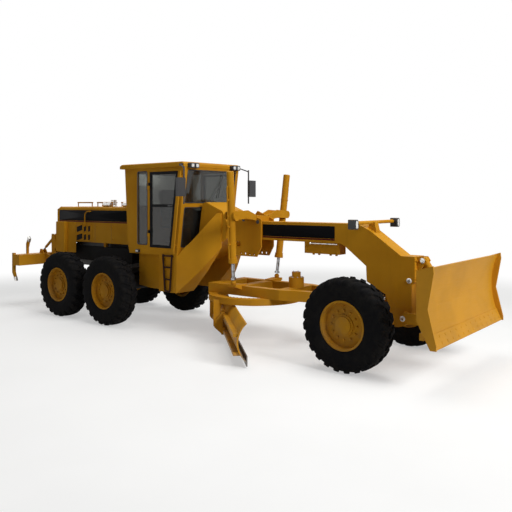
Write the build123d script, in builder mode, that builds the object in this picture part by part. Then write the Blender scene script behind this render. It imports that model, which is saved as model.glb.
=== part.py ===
from build123d import *
import os
from math import cos, radians, sin

# Motor grader with a push blade in front and a ripper behind.
# +X points forward, +Y to the driver's left, +Z up, in millimetres. The origin is on the ground
# under the middle of the tandem axles.

# Running clearance between a pin or shaft and its hole, and between seated pieces
FIT = 0.3
SEAT = 0.3

# Wheels
TYRE_RADIUS = 670
TYRE_WIDTH = 375
TYRE_FACETS = 36
LUG_DEPTH = 28
LUG_LENGTH = 62
LUG_SKEW = 32
RIM_RADIUS = 345
RIM_WALL = 18
RIM_DISC_THICKNESS = 22
HUB_RADIUS = 150
SPINDLE_RADIUS = 70
WHEEL_Y = 1045
TANDEM_PITCH = 1523
FRONT_AXLE_X = 6085
AXLE_Z = TYRE_RADIUS

# Rear frame, axle and engine
RAIL_Y = 350
RAIL_THICKNESS = 50
RAIL_BOTTOM = 1120
RAIL_TOP = 1430
RAIL_REAR = -1900
RAIL_FRONT = 640
HINGE_X = 850
HINGE_PIN_RADIUS = 60
HINGE_EAR_RADIUS = 130
HINGE_EAR_THICKNESS = 60
AXLE_HOUSING_RADIUS = 180
TANDEM_CASE_Y = 770
TANDEM_CASE_THICKNESS = 140
TANDEM_CASE_HEIGHT = 400
ENGINE_REAR = -1350
ENGINE_FRONT = -150
ENGINE_HALF_WIDTH = 310
ENGINE_BOTTOM = 1000
ENGINE_TOP = 2080
HITCH_BORE_RADIUS = 26
HITCH_PLATE = 50

# Hood
HOOD_REAR = -1768
HOOD_FRONT = 700
HOOD_HALF_WIDTH = 500
HOOD_BOTTOM = 1525
HOOD_TOP = 2291
HOOD_WALL = 14
HOOD_CORNER = 70
COWL_REAR = -1930
COWL_BOTTOM = 1290
GRILLE_SLATS = 9

# Front frame
BEAM_HALF_WIDTH = 160
BEAM_BOTTOM = 1735
BEAM_TOP = 2052
NECK_FRONT = 6482
NOSE_FRONT = 6756
NOSE_BOTTOM = 534
SHOULDER_HALF_WIDTH = 300
AXLE_PIN_Z = 620
AXLE_PIN_END = 6440
AXLE_PIN_RADIUS = 60
FRONT_RAIL_Y = 260

# Cab
CAB_HALF_WIDTH = 750
CAB_FLOOR = 1400
CAB_DECK = 1540
CAB_ROOF = 3040
ROOF_TOP = 3131
ROOF_HALF_WIDTH = 790
ROOF_REAR = 762
ROOF_FRONT = 2560
CAB_WALL = 40
GLASS = 8
POD_BOTTOM = 722

# Blade, circle and drawbar
CIRCLE_X = 3600
CIRCLE_RADIUS = 850
CIRCLE_BORE = 700
CIRCLE_BOTTOM = 668
CIRCLE_TEETH_DEPTH = 28
CIRCLE_TEETH = 60
DRAWBAR_BALL_X = 6170
DRAWBAR_BALL_Z = 860
DRAWBAR_BALL_RADIUS = 80
DRAWBAR_BOTTOM = 775
DRAWBAR_TOP = 945
DRAWBAR_HALF_WIDTH = 500
DRAWBAR_ARM = 130
STUD_Y = 620
STUD_Z = 1010
STUD_RADIUS = 45
BLADE_YAW = 47
BLADE_OFFSET = 450
BLADE_SHIFT = 620
BLADE_HALF_LENGTH = 1524
BLADE_BOTTOM = 22
BLADE_TOP = 640
BLADE_THICKNESS = 22
EDGE_HEIGHT = 150
EDGE_THICKNESS = 16

# Lift cylinders
LIFT_TRUNNION_Z = 2160
LIFT_TOP_Y = 810
LIFT_TOP_Z = 2890
LIFT_BARREL_RADIUS = 62
LIFT_ROD_RADIUS = 30
LIFT_BARREL_BOTTOM_Z = 1350

# Push blade
PUSH_TOP = 1570
PUSH_BOTTOM = 550
PUSH_HALF_WIDTH = 1300
PUSH_FACE_X = 7330
PUSH_EDGE_X = 7500
PUSH_THICKNESS = 40
PUSH_ARM_Y = 230
PUSH_PIVOT_X = 6560
PUSH_PIVOT_Z = 690
PUSH_PIN_RADIUS = 32
PUSH_LIFT_X = 6780
PUSH_LIFT_Z = 1535
PUSH_EYE_X = 7150
PUSH_EYE_Z = 1000
PUSH_BARREL_LENGTH = 480

# Ripper
RIPPER_PIVOT_X = -1980
RIPPER_PIVOT_Z = 1010
RIPPER_BEAM_X = -2490
RIPPER_BEAM_Z = 1075
RIPPER_BEAM_DEPTH = 300
RIPPER_BEAM_HEIGHT = 240
RIPPER_HALF_WIDTH = 1150
RIPPER_ARM_Y = 440

SIDES = {"left": 1, "right": -1}


def side_plane(y):
    """Upright plane along the machine at y, with its sketch axes along X and Z."""
    return Plane.XZ.offset(-y)


def cross_plane(x):
    """Upright plane across the machine at x, with its sketch axes along Y and Z."""
    return Plane.YZ.offset(x)


def plate(points, y, thickness, mode=Mode.ADD):
    """Plate of the given side outline, centred on y."""
    with BuildSketch(side_plane(y)) as outline:
        with BuildLine():
            Polyline(*points, close=True)
        make_face()
    extrude(outline.sketch, amount=thickness / 2, both=True, mode=mode)


def slab(points, z, thickness, mode=Mode.ADD):
    """Level plate of the given plan outline, from z upward."""
    with BuildSketch(Plane.XY.offset(z)) as outline:
        with BuildLine():
            Polyline(*points, close=True)
        make_face()
    extrude(outline.sketch, amount=thickness, mode=mode)


def bar(start, end, radius, mode=Mode.ADD):
    """Round bar from one point to another."""
    start, end = Vector(*start), Vector(*end)
    with BuildSketch(Plane(origin=start, z_dir=end - start)) as section:
        Circle(radius)
    extrude(section.sketch, amount=(end - start).length, mode=mode)


def cross_bar(x, z, radius, y_from, y_to, mode=Mode.ADD):
    """Round bar across the machine."""
    bar((x, y_from, z), (x, y_to, z), radius, mode)


def save(part, name):
    """Label a finished piece and write it as its own file."""
    part.label = name
    export_step(part, f"parts/{name}.step")


os.makedirs("parts", exist_ok=True)

# Tyre at the origin, its axle along Y, with two staggered rows of slanting lugs
carcass_radius = TYRE_RADIUS - LUG_DEPTH
half_tyre = TYRE_WIDTH / 2
TYRE_SECTIONS = [
    # share of the half width, share of the height from rim to carcass
    (0.80, 0.0),
    (1.00, 0.45),
    (0.97, 0.80),
    (0.82, 1.0),
]
with BuildPart() as tyre:
    for hand, order in ((1, 1), (-1, -1)):
        for width_share, height_share in TYRE_SECTIONS[::order]:
            radius = RIM_RADIUS + height_share * (carcass_radius - RIM_RADIUS)
            with BuildSketch(side_plane(hand * width_share * half_tyre)):
                RegularPolygon(radius, TYRE_FACETS, major_radius=False, rotation=180 / TYRE_FACETS)
    loft(ruled=True)
    for row, hand in enumerate(SIDES.values()):
        for index in range(row, TYRE_FACETS, 2):
            angle = 270 + index * 360 / TYRE_FACETS
            radial = Vector(cos(radians(angle)), 0, sin(radians(angle)))
            foot = Plane(
                origin=radial * (TYRE_RADIUS - 2 * LUG_DEPTH) + Vector(0, hand * 0.44 * half_tyre, 0),
                x_dir=(0, 1, 0),
                z_dir=radial,
            )
            with BuildSketch(foot) as lug:
                Rectangle(0.78 * half_tyre, LUG_LENGTH, rotation=hand * LUG_SKEW)
            extrude(lug.sketch, amount=2 * LUG_DEPTH)
    with BuildSketch(side_plane(0)) as seat_ring:
        Circle(RIM_RADIUS + SEAT)
    extrude(seat_ring.sketch, amount=half_tyre, both=True, mode=Mode.SUBTRACT)
    with BuildSketch(side_plane(0)) as tread_limit:
        RegularPolygon(TYRE_RADIUS, TYRE_FACETS, major_radius=False, rotation=180 / TYRE_FACETS)
    extrude(tread_limit.sketch, amount=half_tyre, both=True, mode=Mode.INTERSECT)

# Rim at the origin for the left side: the barrel under the tyre, a dished disc and a hub that
# turns on its spindle. The right side's rim is its mirror image.
RIM_INNER_Y = -0.80 * half_tyre
RIM_OUTER_Y = 0.80 * half_tyre
DISC_Y = 40
HUB_INNER_Y = -40
HUB_OUTER_Y = 105
with BuildPart() as rim:
    with BuildSketch(Plane.XY) as barrel:
        with BuildLine():
            Polyline(
                (RIM_RADIUS, RIM_INNER_Y),
                (RIM_RADIUS, RIM_OUTER_Y),
                (RIM_RADIUS - RIM_WALL, RIM_OUTER_Y),
                (RIM_RADIUS - 2 * RIM_WALL, DISC_Y + RIM_DISC_THICKNESS),
                (HUB_RADIUS, DISC_Y + 2 * RIM_DISC_THICKNESS),
                (HUB_RADIUS, HUB_OUTER_Y),
                (SPINDLE_RADIUS + FIT, HUB_OUTER_Y),
                (SPINDLE_RADIUS + FIT, HUB_INNER_Y),
                (HUB_RADIUS - 30, HUB_INNER_Y),
                (HUB_RADIUS - 30, DISC_Y),
                (RIM_RADIUS - 2 * RIM_WALL, DISC_Y),
                (RIM_RADIUS - 2 * RIM_WALL, RIM_INNER_Y),
                close=True,
            )
        make_face()
    revolve(barrel.sketch, axis=Axis.Y)
with BuildPart() as hub_cap:
    with BuildSketch(side_plane(HUB_OUTER_Y)):
        Circle(HUB_RADIUS - 30)
    extrude(amount=-20)

rim_left = rim.part + hub_cap.part
rim_right = rim_left.mirror(Plane.XZ)

WHEELS = {
    # name: axle's place along the machine
    "front": FRONT_AXLE_X,
    "mid": TANDEM_PITCH / 2,
    "rear": -TANDEM_PITCH / 2,
}
for axle, axle_x in WHEELS.items():
    for side, hand in SIDES.items():
        place = Location((axle_x, hand * WHEEL_Y, AXLE_Z))
        save(tyre.part.moved(place), f"tyre_{axle}_{side}")
        save((rim_left if hand > 0 else rim_right).moved(place), f"rim_{axle}_{side}")

# Rear frame: two deep rails, cross members, the axle saddles, the rear hitch plate and the
# clevis that carries the articulation pin
EAR_LOW = 1130
EAR_HIGH = 1380
with BuildPart() as rear_frame:
    for hand in SIDES.values():
        plate(
            [
                (RAIL_REAR, RAIL_BOTTOM + 60),
                (RAIL_REAR, RAIL_TOP),
                (RAIL_FRONT, RAIL_TOP),
                (RAIL_FRONT, RAIL_BOTTOM),
                (300, RAIL_BOTTOM),
                (220, AXLE_Z + AXLE_HOUSING_RADIUS + SEAT),
                (-220, AXLE_Z + AXLE_HOUSING_RADIUS + SEAT),
                (-300, RAIL_BOTTOM),
                (RAIL_REAR + 200, RAIL_BOTTOM),
            ],
            hand * RAIL_Y,
            RAIL_THICKNESS,
        )
    inner = RAIL_Y - RAIL_THICKNESS / 2
    for x, bottom in ((RAIL_REAR + 40, RAIL_BOTTOM + 60), (RAIL_FRONT - 60, RAIL_BOTTOM)):
        with BuildSketch(cross_plane(x - 40)) as wall:
            with Locations((0, (bottom + RAIL_TOP) / 2)):
                Rectangle(2 * inner, RAIL_TOP - bottom)
        extrude(wall.sketch, amount=80)
    for z in (EAR_LOW, EAR_HIGH - HINGE_EAR_THICKNESS):
        slab(
            [
                (RAIL_FRONT - 100, -inner),
                (RAIL_FRONT, -inner),
                (HINGE_X, -HINGE_EAR_RADIUS),
                (HINGE_X, HINGE_EAR_RADIUS),
                (RAIL_FRONT, inner),
                (RAIL_FRONT - 100, inner),
            ],
            z,
            HINGE_EAR_THICKNESS,
        )
        bar((HINGE_X, 0, z), (HINGE_X, 0, z + HINGE_EAR_THICKNESS), HINGE_EAR_RADIUS)
    bar((HINGE_X, 0, EAR_LOW - 30), (HINGE_X, 0, EAR_HIGH + 30), HINGE_PIN_RADIUS)
    # Hitch ears at the rear, below the rails
    with BuildSketch(Plane.XY.offset(RAIL_BOTTOM - 120)) as hitch:
        with BuildLine():
            Polyline((-1700, -110), (RAIL_REAR, -110), (RAIL_REAR, 110), (-1700, 110), close=True)
        make_face()
    extrude(hitch.sketch, amount=HITCH_PLATE)
    plate(
        [
            (-1700, RAIL_BOTTOM - 120),
            (-1700, RAIL_TOP - 100),
            (RAIL_REAR + 80, RAIL_TOP - 100),
            (RAIL_REAR + 80, RAIL_BOTTOM - 70),
            (RAIL_REAR + 130, RAIL_BOTTOM - 120),
        ],
        0,
        200,
    )
    bar((RAIL_REAR + 50, 0, RAIL_BOTTOM - 140), (RAIL_REAR + 50, 0, RAIL_BOTTOM - 50), HITCH_BORE_RADIUS,
        Mode.SUBTRACT)
save(rear_frame.part, "rear_frame")

# Rear axle: the housing across the machine, the tandem cases and the four wheel spindles
case_inner_y = TANDEM_CASE_Y - TANDEM_CASE_THICKNESS / 2
case_outer_y = TANDEM_CASE_Y + TANDEM_CASE_THICKNESS / 2
with BuildPart() as rear_axle:
    cross_bar(0, AXLE_Z, AXLE_HOUSING_RADIUS, -case_inner_y, case_inner_y)
    for hand in SIDES.values():
        with BuildSketch(side_plane(hand * TANDEM_CASE_Y)):
            with Locations((0, AXLE_Z)):
                SlotOverall(TANDEM_PITCH + TANDEM_CASE_HEIGHT, TANDEM_CASE_HEIGHT)
        extrude(amount=TANDEM_CASE_THICKNESS / 2, both=True)
        for axle_x in (TANDEM_PITCH / 2, -TANDEM_PITCH / 2):
            cross_bar(axle_x, AXLE_Z, SPINDLE_RADIUS, hand * case_outer_y,
                      hand * (WHEEL_Y + HUB_OUTER_Y - SEAT))
save(rear_axle.part, "rear_axle")

# Engine and transmission as one plain block
with BuildPart() as engine_block:
    plate(
        [
            (ENGINE_REAR, RAIL_TOP + SEAT),
            (ENGINE_REAR, ENGINE_TOP),
            (ENGINE_FRONT, ENGINE_TOP),
            (ENGINE_FRONT, RAIL_TOP + SEAT),
        ],
        0,
        2 * ENGINE_HALF_WIDTH,
    )
    plate(
        [
            (ENGINE_REAR + 100, ENGINE_BOTTOM),
            (ENGINE_REAR, RAIL_TOP + SEAT),
            (300, RAIL_TOP + SEAT),
            (300, ENGINE_BOTTOM),
        ],
        0,
        2 * (RAIL_Y - RAIL_THICKNESS / 2 - SEAT),
    )
save(engine_block.part, "engine_block")

# Hood: a folded shell open below, with louvres behind and hooks for the rails on top
LOUVRE_ROWS = (1640, 1790)
LOUVRE_COLUMNS = (-1240, -1080, -920)
with BuildPart() as engine_hood:
    with BuildSketch(cross_plane(HOOD_REAR)) as outer:
        with Locations((0, (HOOD_BOTTOM + HOOD_TOP) / 2)):
            Rectangle(2 * HOOD_HALF_WIDTH, HOOD_TOP - HOOD_BOTTOM)
    extrude(outer.sketch, amount=HOOD_FRONT - HOOD_REAR)
    fillet(engine_hood.edges().filter_by(Axis.X).group_by(Axis.Z)[-1], radius=HOOD_CORNER)
    with BuildSketch(cross_plane(HOOD_REAR + HOOD_WALL)) as inside:
        with Locations((0, (HOOD_BOTTOM + HOOD_TOP) / 2 - HOOD_WALL)):
            Rectangle(2 * (HOOD_HALF_WIDTH - HOOD_WALL), HOOD_TOP - HOOD_BOTTOM)
        fillet(inside.vertices().group_by(Axis.Z)[-1], radius=HOOD_CORNER - HOOD_WALL)
    extrude(inside.sketch, amount=HOOD_FRONT - HOOD_REAR - 2 * HOOD_WALL, mode=Mode.SUBTRACT)
    for z in LOUVRE_ROWS:
        for x in LOUVRE_COLUMNS:
            plate(
                [(x - 55, z - 25), (x + 55, z + 15), (x + 55, z + 65), (x - 55, z + 25)],
                0,
                3 * HOOD_HALF_WIDTH,
                Mode.SUBTRACT,
            )
    for hand in SIDES.values():
        plate(
            [
                (HOOD_REAR, HOOD_BOTTOM),
                (HOOD_REAR, HOOD_BOTTOM + 30),
                (HOOD_FRONT, HOOD_BOTTOM + 30),
                (HOOD_FRONT, HOOD_BOTTOM),
            ],
            hand * (RAIL_Y + HOOD_HALF_WIDTH) / 2,
            HOOD_HALF_WIDTH - RAIL_Y,
        )
        for x in (HOOD_REAR + 200, -300, HOOD_FRONT - 120):
            plate(
                [(x, RAIL_TOP + SEAT), (x, HOOD_BOTTOM), (x + 80, HOOD_BOTTOM), (x + 80, RAIL_TOP + SEAT)],
                hand * RAIL_Y,
                RAIL_THICKNESS,
            )
save(engine_hood.part, "engine_hood")

# Rear cowl: the radiator guard with its grille slats, flared to the foot
with BuildPart() as radiator_cowl:
    for hand in SIDES.values():
        plate(
            [
                (HOOD_REAR - SEAT, HOOD_TOP - 40),
                (HOOD_REAR - 60, HOOD_TOP - 60),
                (HOOD_REAR - 60, 1640),
                (COWL_REAR, 1500),
                (COWL_REAR, COWL_BOTTOM + 60),
                (COWL_REAR + 60, COWL_BOTTOM),
                (HOOD_REAR - SEAT, COWL_BOTTOM),
            ],
            hand * (HOOD_HALF_WIDTH - 30),
            60,
        )
    slat_pitch = (HOOD_TOP - 100 - 1640) / GRILLE_SLATS
    for index in range(GRILLE_SLATS + 1):
        z = 1640 + index * slat_pitch
        plate(
            [(HOOD_REAR - 50, z - 18), (HOOD_REAR - 50, z - 6), (HOOD_REAR - 12, z + 18),
             (HOOD_REAR - 12, z + 6)],
            0,
            2 * (HOOD_HALF_WIDTH - 59),
        )
    plate(
        [
            (HOOD_REAR - SEAT, HOOD_TOP - 40),
            (HOOD_REAR - 60, HOOD_TOP - 60),
            (HOOD_REAR - 60, HOOD_TOP - 110),
            (HOOD_REAR - SEAT, HOOD_TOP - 110),
        ],
        0,
        2 * (HOOD_HALF_WIDTH - 59),
    )
    plate(
        [
            (HOOD_REAR - SEAT, 1640),
            (HOOD_REAR - 60, 1640),
            (COWL_REAR, 1500),
            (COWL_REAR, RAIL_TOP + 20),
            (HOOD_REAR - SEAT, RAIL_TOP + 20),
        ],
        0,
        2 * (HOOD_HALF_WIDTH - 59),
    )
save(radiator_cowl.part, "radiator_cowl")

# Hood fittings: a service rail, the exhaust stack, the intake cap and a hooked handrail
with BuildPart() as hood_fittings:
    top = HOOD_TOP + SEAT
    for x_from, x_to in ((-1270, -760), (-560, -60)):
        for hand in SIDES.values():
            y = hand * 330
            for x in (x_from, x_to):
                bar((x, y, top), (x, y, top + 90), 11)
            bar((x_from - 20, y, top + 90), (x_to + 20, y, top + 90), 14)
save(hood_fittings.part, "hood_rails")

with BuildPart() as exhaust:
    bar((-280, -120, HOOD_TOP + SEAT), (-280, -120, HOOD_TOP + 60), 95)
    bar((-280, -120, HOOD_TOP + 60), (-280, -120, HOOD_TOP + 150), 60)
    bar((360, -120, HOOD_TOP + SEAT), (360, -120, HOOD_TOP + 70), 60)
    bar((360, -120, HOOD_TOP + 70), (360, -120, HOOD_TOP + 150), 100)
save(exhaust.part, "exhaust_and_intake")

# Front frame: hinge tongue, cab bed, shoulder, long beam, gooseneck and nose
TONGUE_BOTTOM = EAR_LOW + HINGE_EAR_THICKNESS + 2
TONGUE_TOP = EAR_HIGH - HINGE_EAR_THICKNESS - 2
with BuildPart() as front_frame:
    slab(
        [
            (HINGE_X, -HINGE_EAR_RADIUS),
            (HINGE_X, HINGE_EAR_RADIUS),
            (1180, FRONT_RAIL_Y),
            (1180, -FRONT_RAIL_Y),
        ],
        TONGUE_BOTTOM,
        TONGUE_TOP - TONGUE_BOTTOM,
    )
    bar((HINGE_X, 0, TONGUE_BOTTOM), (HINGE_X, 0, TONGUE_TOP), HINGE_EAR_RADIUS)
    bar((HINGE_X, 0, TONGUE_BOTTOM), (HINGE_X, 0, TONGUE_TOP), HINGE_PIN_RADIUS + FIT, Mode.SUBTRACT)
    for hand in SIDES.values():
        plate(
            [
                (1100, 1130),
                (1100, CAB_FLOOR - SEAT),
                (2400, CAB_FLOOR - SEAT),
                (2560, 2370),
                (2640, 2390),
                (3050, 2230),
                (3150, BEAM_TOP),
                (3150, BEAM_BOTTOM),
                (2900, 1560),
                (2500, 1300),
                (2000, 1130),
            ],
            hand * FRONT_RAIL_Y,
            2 * (SHOULDER_HALF_WIDTH - FRONT_RAIL_Y),
        )
    plate(
        [(1100, 1130), (1100, 1200), (2000, 1200), (2480, 1370), (2860, 1620), (3150, 1790),
         (3150, BEAM_BOTTOM),
         (2900, 1560), (2500, 1300), (2000, 1130)],
        0,
        2 * FRONT_RAIL_Y,
    )
    plate(
        [(2560, 2370), (2640, 2390), (3050, 2230), (3150, BEAM_TOP), (3150, BEAM_TOP - 60), (3000, 2150),
         (2640, 2320), (2560, 2300)],
        0,
        2 * FRONT_RAIL_Y,
    )
    plate(
        [(1100, 1130), (1100, CAB_FLOOR - SEAT), (1180, CAB_FLOOR - SEAT), (1180, 1130)],
        0,
        2 * FRONT_RAIL_Y,
    )
    with BuildSketch(side_plane(0)) as neck:
        with BuildLine():
            Polyline(
                (3000, BEAM_BOTTOM),
                (3000, BEAM_TOP),
                (5753, BEAM_TOP),
                (5972, 1950),
                (NECK_FRONT, 1591),
                (NOSE_FRONT - 60, 1591),
                (NOSE_FRONT - 60, 1218),
                (NOSE_FRONT - 110, 1180),
                (NOSE_FRONT - 110, 760),
            )
            ThreePointArc((NOSE_FRONT - 110, 760), (6560, 590), (6380, NOSE_BOTTOM))
            Polyline((6380, NOSE_BOTTOM), (6230, 1000), (5912, 1172), (5900, 1408), (5528, 1693),
                     (5430, BEAM_BOTTOM), (3000, BEAM_BOTTOM))
        make_face()
    extrude(neck.sketch, amount=BEAM_HALF_WIDTH, both=True)
    # Push blade bracket high on the nose, and its arm pins low on the nose
    for hand in SIDES.values():
        plate(
            [(NOSE_FRONT - 61, 1300), (NOSE_FRONT - 61, 1591), (PUSH_LIFT_X + 20, 1591),
             (PUSH_LIFT_X + 60, 1530),
             (PUSH_LIFT_X + 20, 1480)],
            hand * 70,
            30,
        )
    cross_bar(PUSH_LIFT_X, PUSH_LIFT_Z, 28, -85, 85)
    cross_bar(PUSH_PIVOT_X, PUSH_PIVOT_Z, PUSH_PIN_RADIUS, -PUSH_ARM_Y - 45, PUSH_ARM_Y + 45)
    cross_bar(PUSH_PIVOT_X, PUSH_PIVOT_Z, 90, -PUSH_ARM_Y + 36, PUSH_ARM_Y - 36)
    # Half cup for the drawbar's ball, behind the nose and above the axle
    plate(
        [(DRAWBAR_BALL_X + 10, DRAWBAR_BALL_Z - 120), (DRAWBAR_BALL_X + 10, DRAWBAR_BALL_Z + 120),
         (6280, DRAWBAR_BALL_Z + 160), (6420, DRAWBAR_BALL_Z + 100), (6420, DRAWBAR_BALL_Z - 200)],
        0,
        140,
    )
    with Locations((DRAWBAR_BALL_X, 0, DRAWBAR_BALL_Z)):
        Sphere(DRAWBAR_BALL_RADIUS + FIT, mode=Mode.SUBTRACT)
    bar((6200, 0, AXLE_PIN_Z), (AXLE_PIN_END + SEAT, 0, AXLE_PIN_Z), AXLE_PIN_RADIUS + SEAT, Mode.SUBTRACT)
save(front_frame.part, "front_frame")

# Valve box hung under the beam
with BuildPart() as valve_box:
    plate([(4746, 1549), (4746, BEAM_BOTTOM - SEAT), (5412, BEAM_BOTTOM - SEAT), (5412, 1549)], -40, 200)
save(valve_box.part, "valve_box")

# Front axle: an arched beam on its centre pin, with the lean pivots at its ends
LEAN_Y = 700
KINGPIN_Y = 925
with BuildPart() as front_axle:
    with BuildSketch(cross_plane(FRONT_AXLE_X)) as arch:
        with BuildLine():
            Polyline(
                (-LEAN_Y, AXLE_Z - 75), (-420, 520), (-150, 470), (150, 470), (420, 520),
                (LEAN_Y, AXLE_Z - 75),
                (LEAN_Y, AXLE_Z + 75), (420, 700), (150, 720), (-150, 720), (-420, 700),
                (-LEAN_Y, AXLE_Z + 75),
                close=True,
            )
        make_face()
    extrude(arch.sketch, amount=85, both=True)
    for hand in SIDES.values():
        bar((FRONT_AXLE_X - 90, hand * LEAN_Y, AXLE_Z), (FRONT_AXLE_X + 90, hand * LEAN_Y, AXLE_Z), 75)
        bar((FRONT_AXLE_X - 90, hand * LEAN_Y, AXLE_Z), (FRONT_AXLE_X + 90, hand * LEAN_Y, AXLE_Z),
            35 + FIT,
            Mode.SUBTRACT)
    bar((FRONT_AXLE_X, 0, AXLE_PIN_Z), (AXLE_PIN_END, 0, AXLE_PIN_Z), AXLE_PIN_RADIUS)
save(front_axle.part, "front_axle")

for side, hand in SIDES.items():
    with BuildPart() as lean_yoke:
        for fore in (-1, 1):
            inner_face = FRONT_AXLE_X + fore * 92
            outer_face = FRONT_AXLE_X + fore * 120
            bar((inner_face, hand * LEAN_Y, AXLE_Z), (outer_face, hand * LEAN_Y, AXLE_Z), 70)
            with BuildSketch(cross_plane(inner_face)) as ear:
                with BuildLine():
                    Polyline(
                        (hand * LEAN_Y, AXLE_Z - 70), (hand * LEAN_Y, AXLE_Z + 70),
                        (hand * (KINGPIN_Y - 90), AXLE_Z + 130), (hand * (KINGPIN_Y - 90), AXLE_Z - 130),
                        close=True,
                    )
                make_face()
            extrude(ear.sketch, amount=fore * 28)
        bar((FRONT_AXLE_X - 122, hand * LEAN_Y, AXLE_Z), (FRONT_AXLE_X + 122, hand * LEAN_Y, AXLE_Z), 35)
        with BuildSketch(cross_plane(FRONT_AXLE_X)) as web:
            with Locations((hand * (KINGPIN_Y - 110), AXLE_Z)):
                Rectangle(40, 380)
        extrude(web.sketch, amount=92, both=True)
        for end in (-1, 1):
            near, far = AXLE_Z + end * 132, AXLE_Z + end * 190
            slab(
                [
                    (FRONT_AXLE_X - 92, hand * (KINGPIN_Y - 110)),
                    (FRONT_AXLE_X - 60, hand * KINGPIN_Y),
                    (FRONT_AXLE_X + 60, hand * KINGPIN_Y),
                    (FRONT_AXLE_X + 92, hand * (KINGPIN_Y - 110)),
                ],
                min(near, far),
                abs(far - near),
            )
            bar((FRONT_AXLE_X, hand * KINGPIN_Y, near), (FRONT_AXLE_X, hand * KINGPIN_Y, far), 60)
        bar((FRONT_AXLE_X, hand * KINGPIN_Y, AXLE_Z - 200), (FRONT_AXLE_X, hand * KINGPIN_Y, AXLE_Z + 200),
            32)
    save(lean_yoke.part, f"lean_yoke_{side}")

    with BuildPart() as knuckle:
        bar((FRONT_AXLE_X, hand * KINGPIN_Y, AXLE_Z - 130), (FRONT_AXLE_X, hand * KINGPIN_Y, AXLE_Z + 130),
            62)
        cross_bar(FRONT_AXLE_X, AXLE_Z, SPINDLE_RADIUS, hand * KINGPIN_Y,
                  hand * (WHEEL_Y + HUB_OUTER_Y - SEAT))
        bar((FRONT_AXLE_X, hand * KINGPIN_Y, AXLE_Z - 130), (FRONT_AXLE_X, hand * KINGPIN_Y, AXLE_Z + 130),
            32 + FIT, Mode.SUBTRACT)
    save(knuckle.part, f"knuckle_{side}")

# Cab shell: side walls, slanted front and rear, with its windows and door openings cut out
CAB_OUTLINE = [
    (870, CAB_ROOF), (962, 1580), (1010, CAB_FLOOR), (2332, CAB_FLOOR), (2550, CAB_ROOF),
]
REAR_WINDOW = [(1254, 1580), (1254, 2975), (1530, 2975), (1530, 1580)]
DOOR_HINGE_X = 1592
DOOR_HINGE_Z = (1800, 2700)
DOOR_KNUCKLE = 15
DOOR_HINGE_Y = CAB_HALF_WIDTH + DOOR_KNUCKLE + SEAT
DOOR_OPENING = [(1600, 1531), (1600, 2966), (2375, 2966), (2185, 1531)]
with BuildPart() as cab_shell:
    plate(CAB_OUTLINE, 0, 2 * CAB_HALF_WIDTH)
    plate(
        [(912, CAB_ROOF), (1003, 1580), (1050, CAB_DECK), (2308, CAB_DECK), (2508, CAB_ROOF)],
        0,
        2 * (CAB_HALF_WIDTH - CAB_WALL),
        Mode.SUBTRACT,
    )
    plate(REAR_WINDOW, 0, 3 * CAB_HALF_WIDTH, Mode.SUBTRACT)
    plate(DOOR_OPENING, 0, 3 * CAB_HALF_WIDTH, Mode.SUBTRACT)
    with BuildSketch(cross_plane(2100)) as windscreens:
        with Locations((0, 2680)):
            Rectangle(2 * 660, 600)
        with Locations((0, 1925)):
            Rectangle(2 * 660, 730)
    extrude(windscreens.sketch, amount=600, mode=Mode.SUBTRACT)
    with BuildSketch(cross_plane(800)) as back_windows:
        with Locations((0, 2640)):
            Rectangle(2 * 620, 640)
    extrude(back_windows.sketch, amount=300, mode=Mode.SUBTRACT)
    for hand in SIDES.values():
        for z in DOOR_HINGE_Z:
            bar((DOOR_HINGE_X, hand * DOOR_HINGE_Y, z - 60), (DOOR_HINGE_X, hand * DOOR_HINGE_Y, z),
                DOOR_KNUCKLE)
            plate([(1540, z - 60), (1540, z), (DOOR_HINGE_X, z), (DOOR_HINGE_X, z - 60)],
                  hand * (CAB_HALF_WIDTH + 6), 12)
save(cab_shell.part, "cab_shell")

with BuildPart() as cab_roof:
    plate(
        [(ROOF_REAR, CAB_ROOF + SEAT), (ROOF_REAR, ROOF_TOP - 40), (ROOF_REAR + 60, ROOF_TOP),
         (ROOF_FRONT - 60, ROOF_TOP),
         (ROOF_FRONT, ROOF_TOP - 40), (ROOF_FRONT, CAB_ROOF + SEAT)],
        0,
        2 * ROOF_HALF_WIDTH,
    )
    fillet(cab_roof.edges().filter_by(Axis.X).group_by(Axis.Z)[-1], radius=30)
save(cab_roof.part, "cab_roof")


def front_wall_x(z):
    """Outer face of the slanted front wall at height z."""
    return 2332 + (z - CAB_FLOOR) * (2550 - 2332) / (CAB_ROOF - CAB_FLOOR)


def back_wall_x(z):
    """Outer face of the slanted rear wall at height z."""
    return 962 - (z - 1580) * (962 - 870) / (CAB_ROOF - 1580)


with BuildPart() as cab_glass:
    for low, high in ((1560, 2290), (2380, 2980)):
        plate(
            [(front_wall_x(low) - 24, low + SEAT), (front_wall_x(high) - 24, high - SEAT),
             (front_wall_x(high) - 24 + GLASS, high - SEAT), (front_wall_x(low) - 24 + GLASS, low + SEAT)],
            0,
            2 * (660 - SEAT),
        )
    plate(
        [(back_wall_x(2320) + 16, 2320 + SEAT), (back_wall_x(2960) + 16, 2960 - SEAT),
         (back_wall_x(2960) + 16 + GLASS, 2960 - SEAT), (back_wall_x(2320) + 16 + GLASS, 2320 + SEAT)],
        0,
        2 * (620 - SEAT),
    )
    for hand in SIDES.values():
        plate(
            [(1254 + SEAT, 1580 + SEAT), (1254 + SEAT, 2975 - SEAT), (1530 - SEAT, 2975 - SEAT),
             (1530 - SEAT, 1580 + SEAT)],
            hand * (CAB_HALF_WIDTH - CAB_WALL / 2),
            GLASS,
        )
save(cab_glass.part, "cab_glass")

# Doors, hinged at their rear edge, with their glass
DOOR_GAP = 6
DOOR_FRAME = 48
DOOR_THICKNESS = 34
DOOR_BAR_LOW = 2300
DOOR_BAR_HIGH = 2350
door_slope = (2375 - 2185) / (2966 - 1531)


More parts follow.
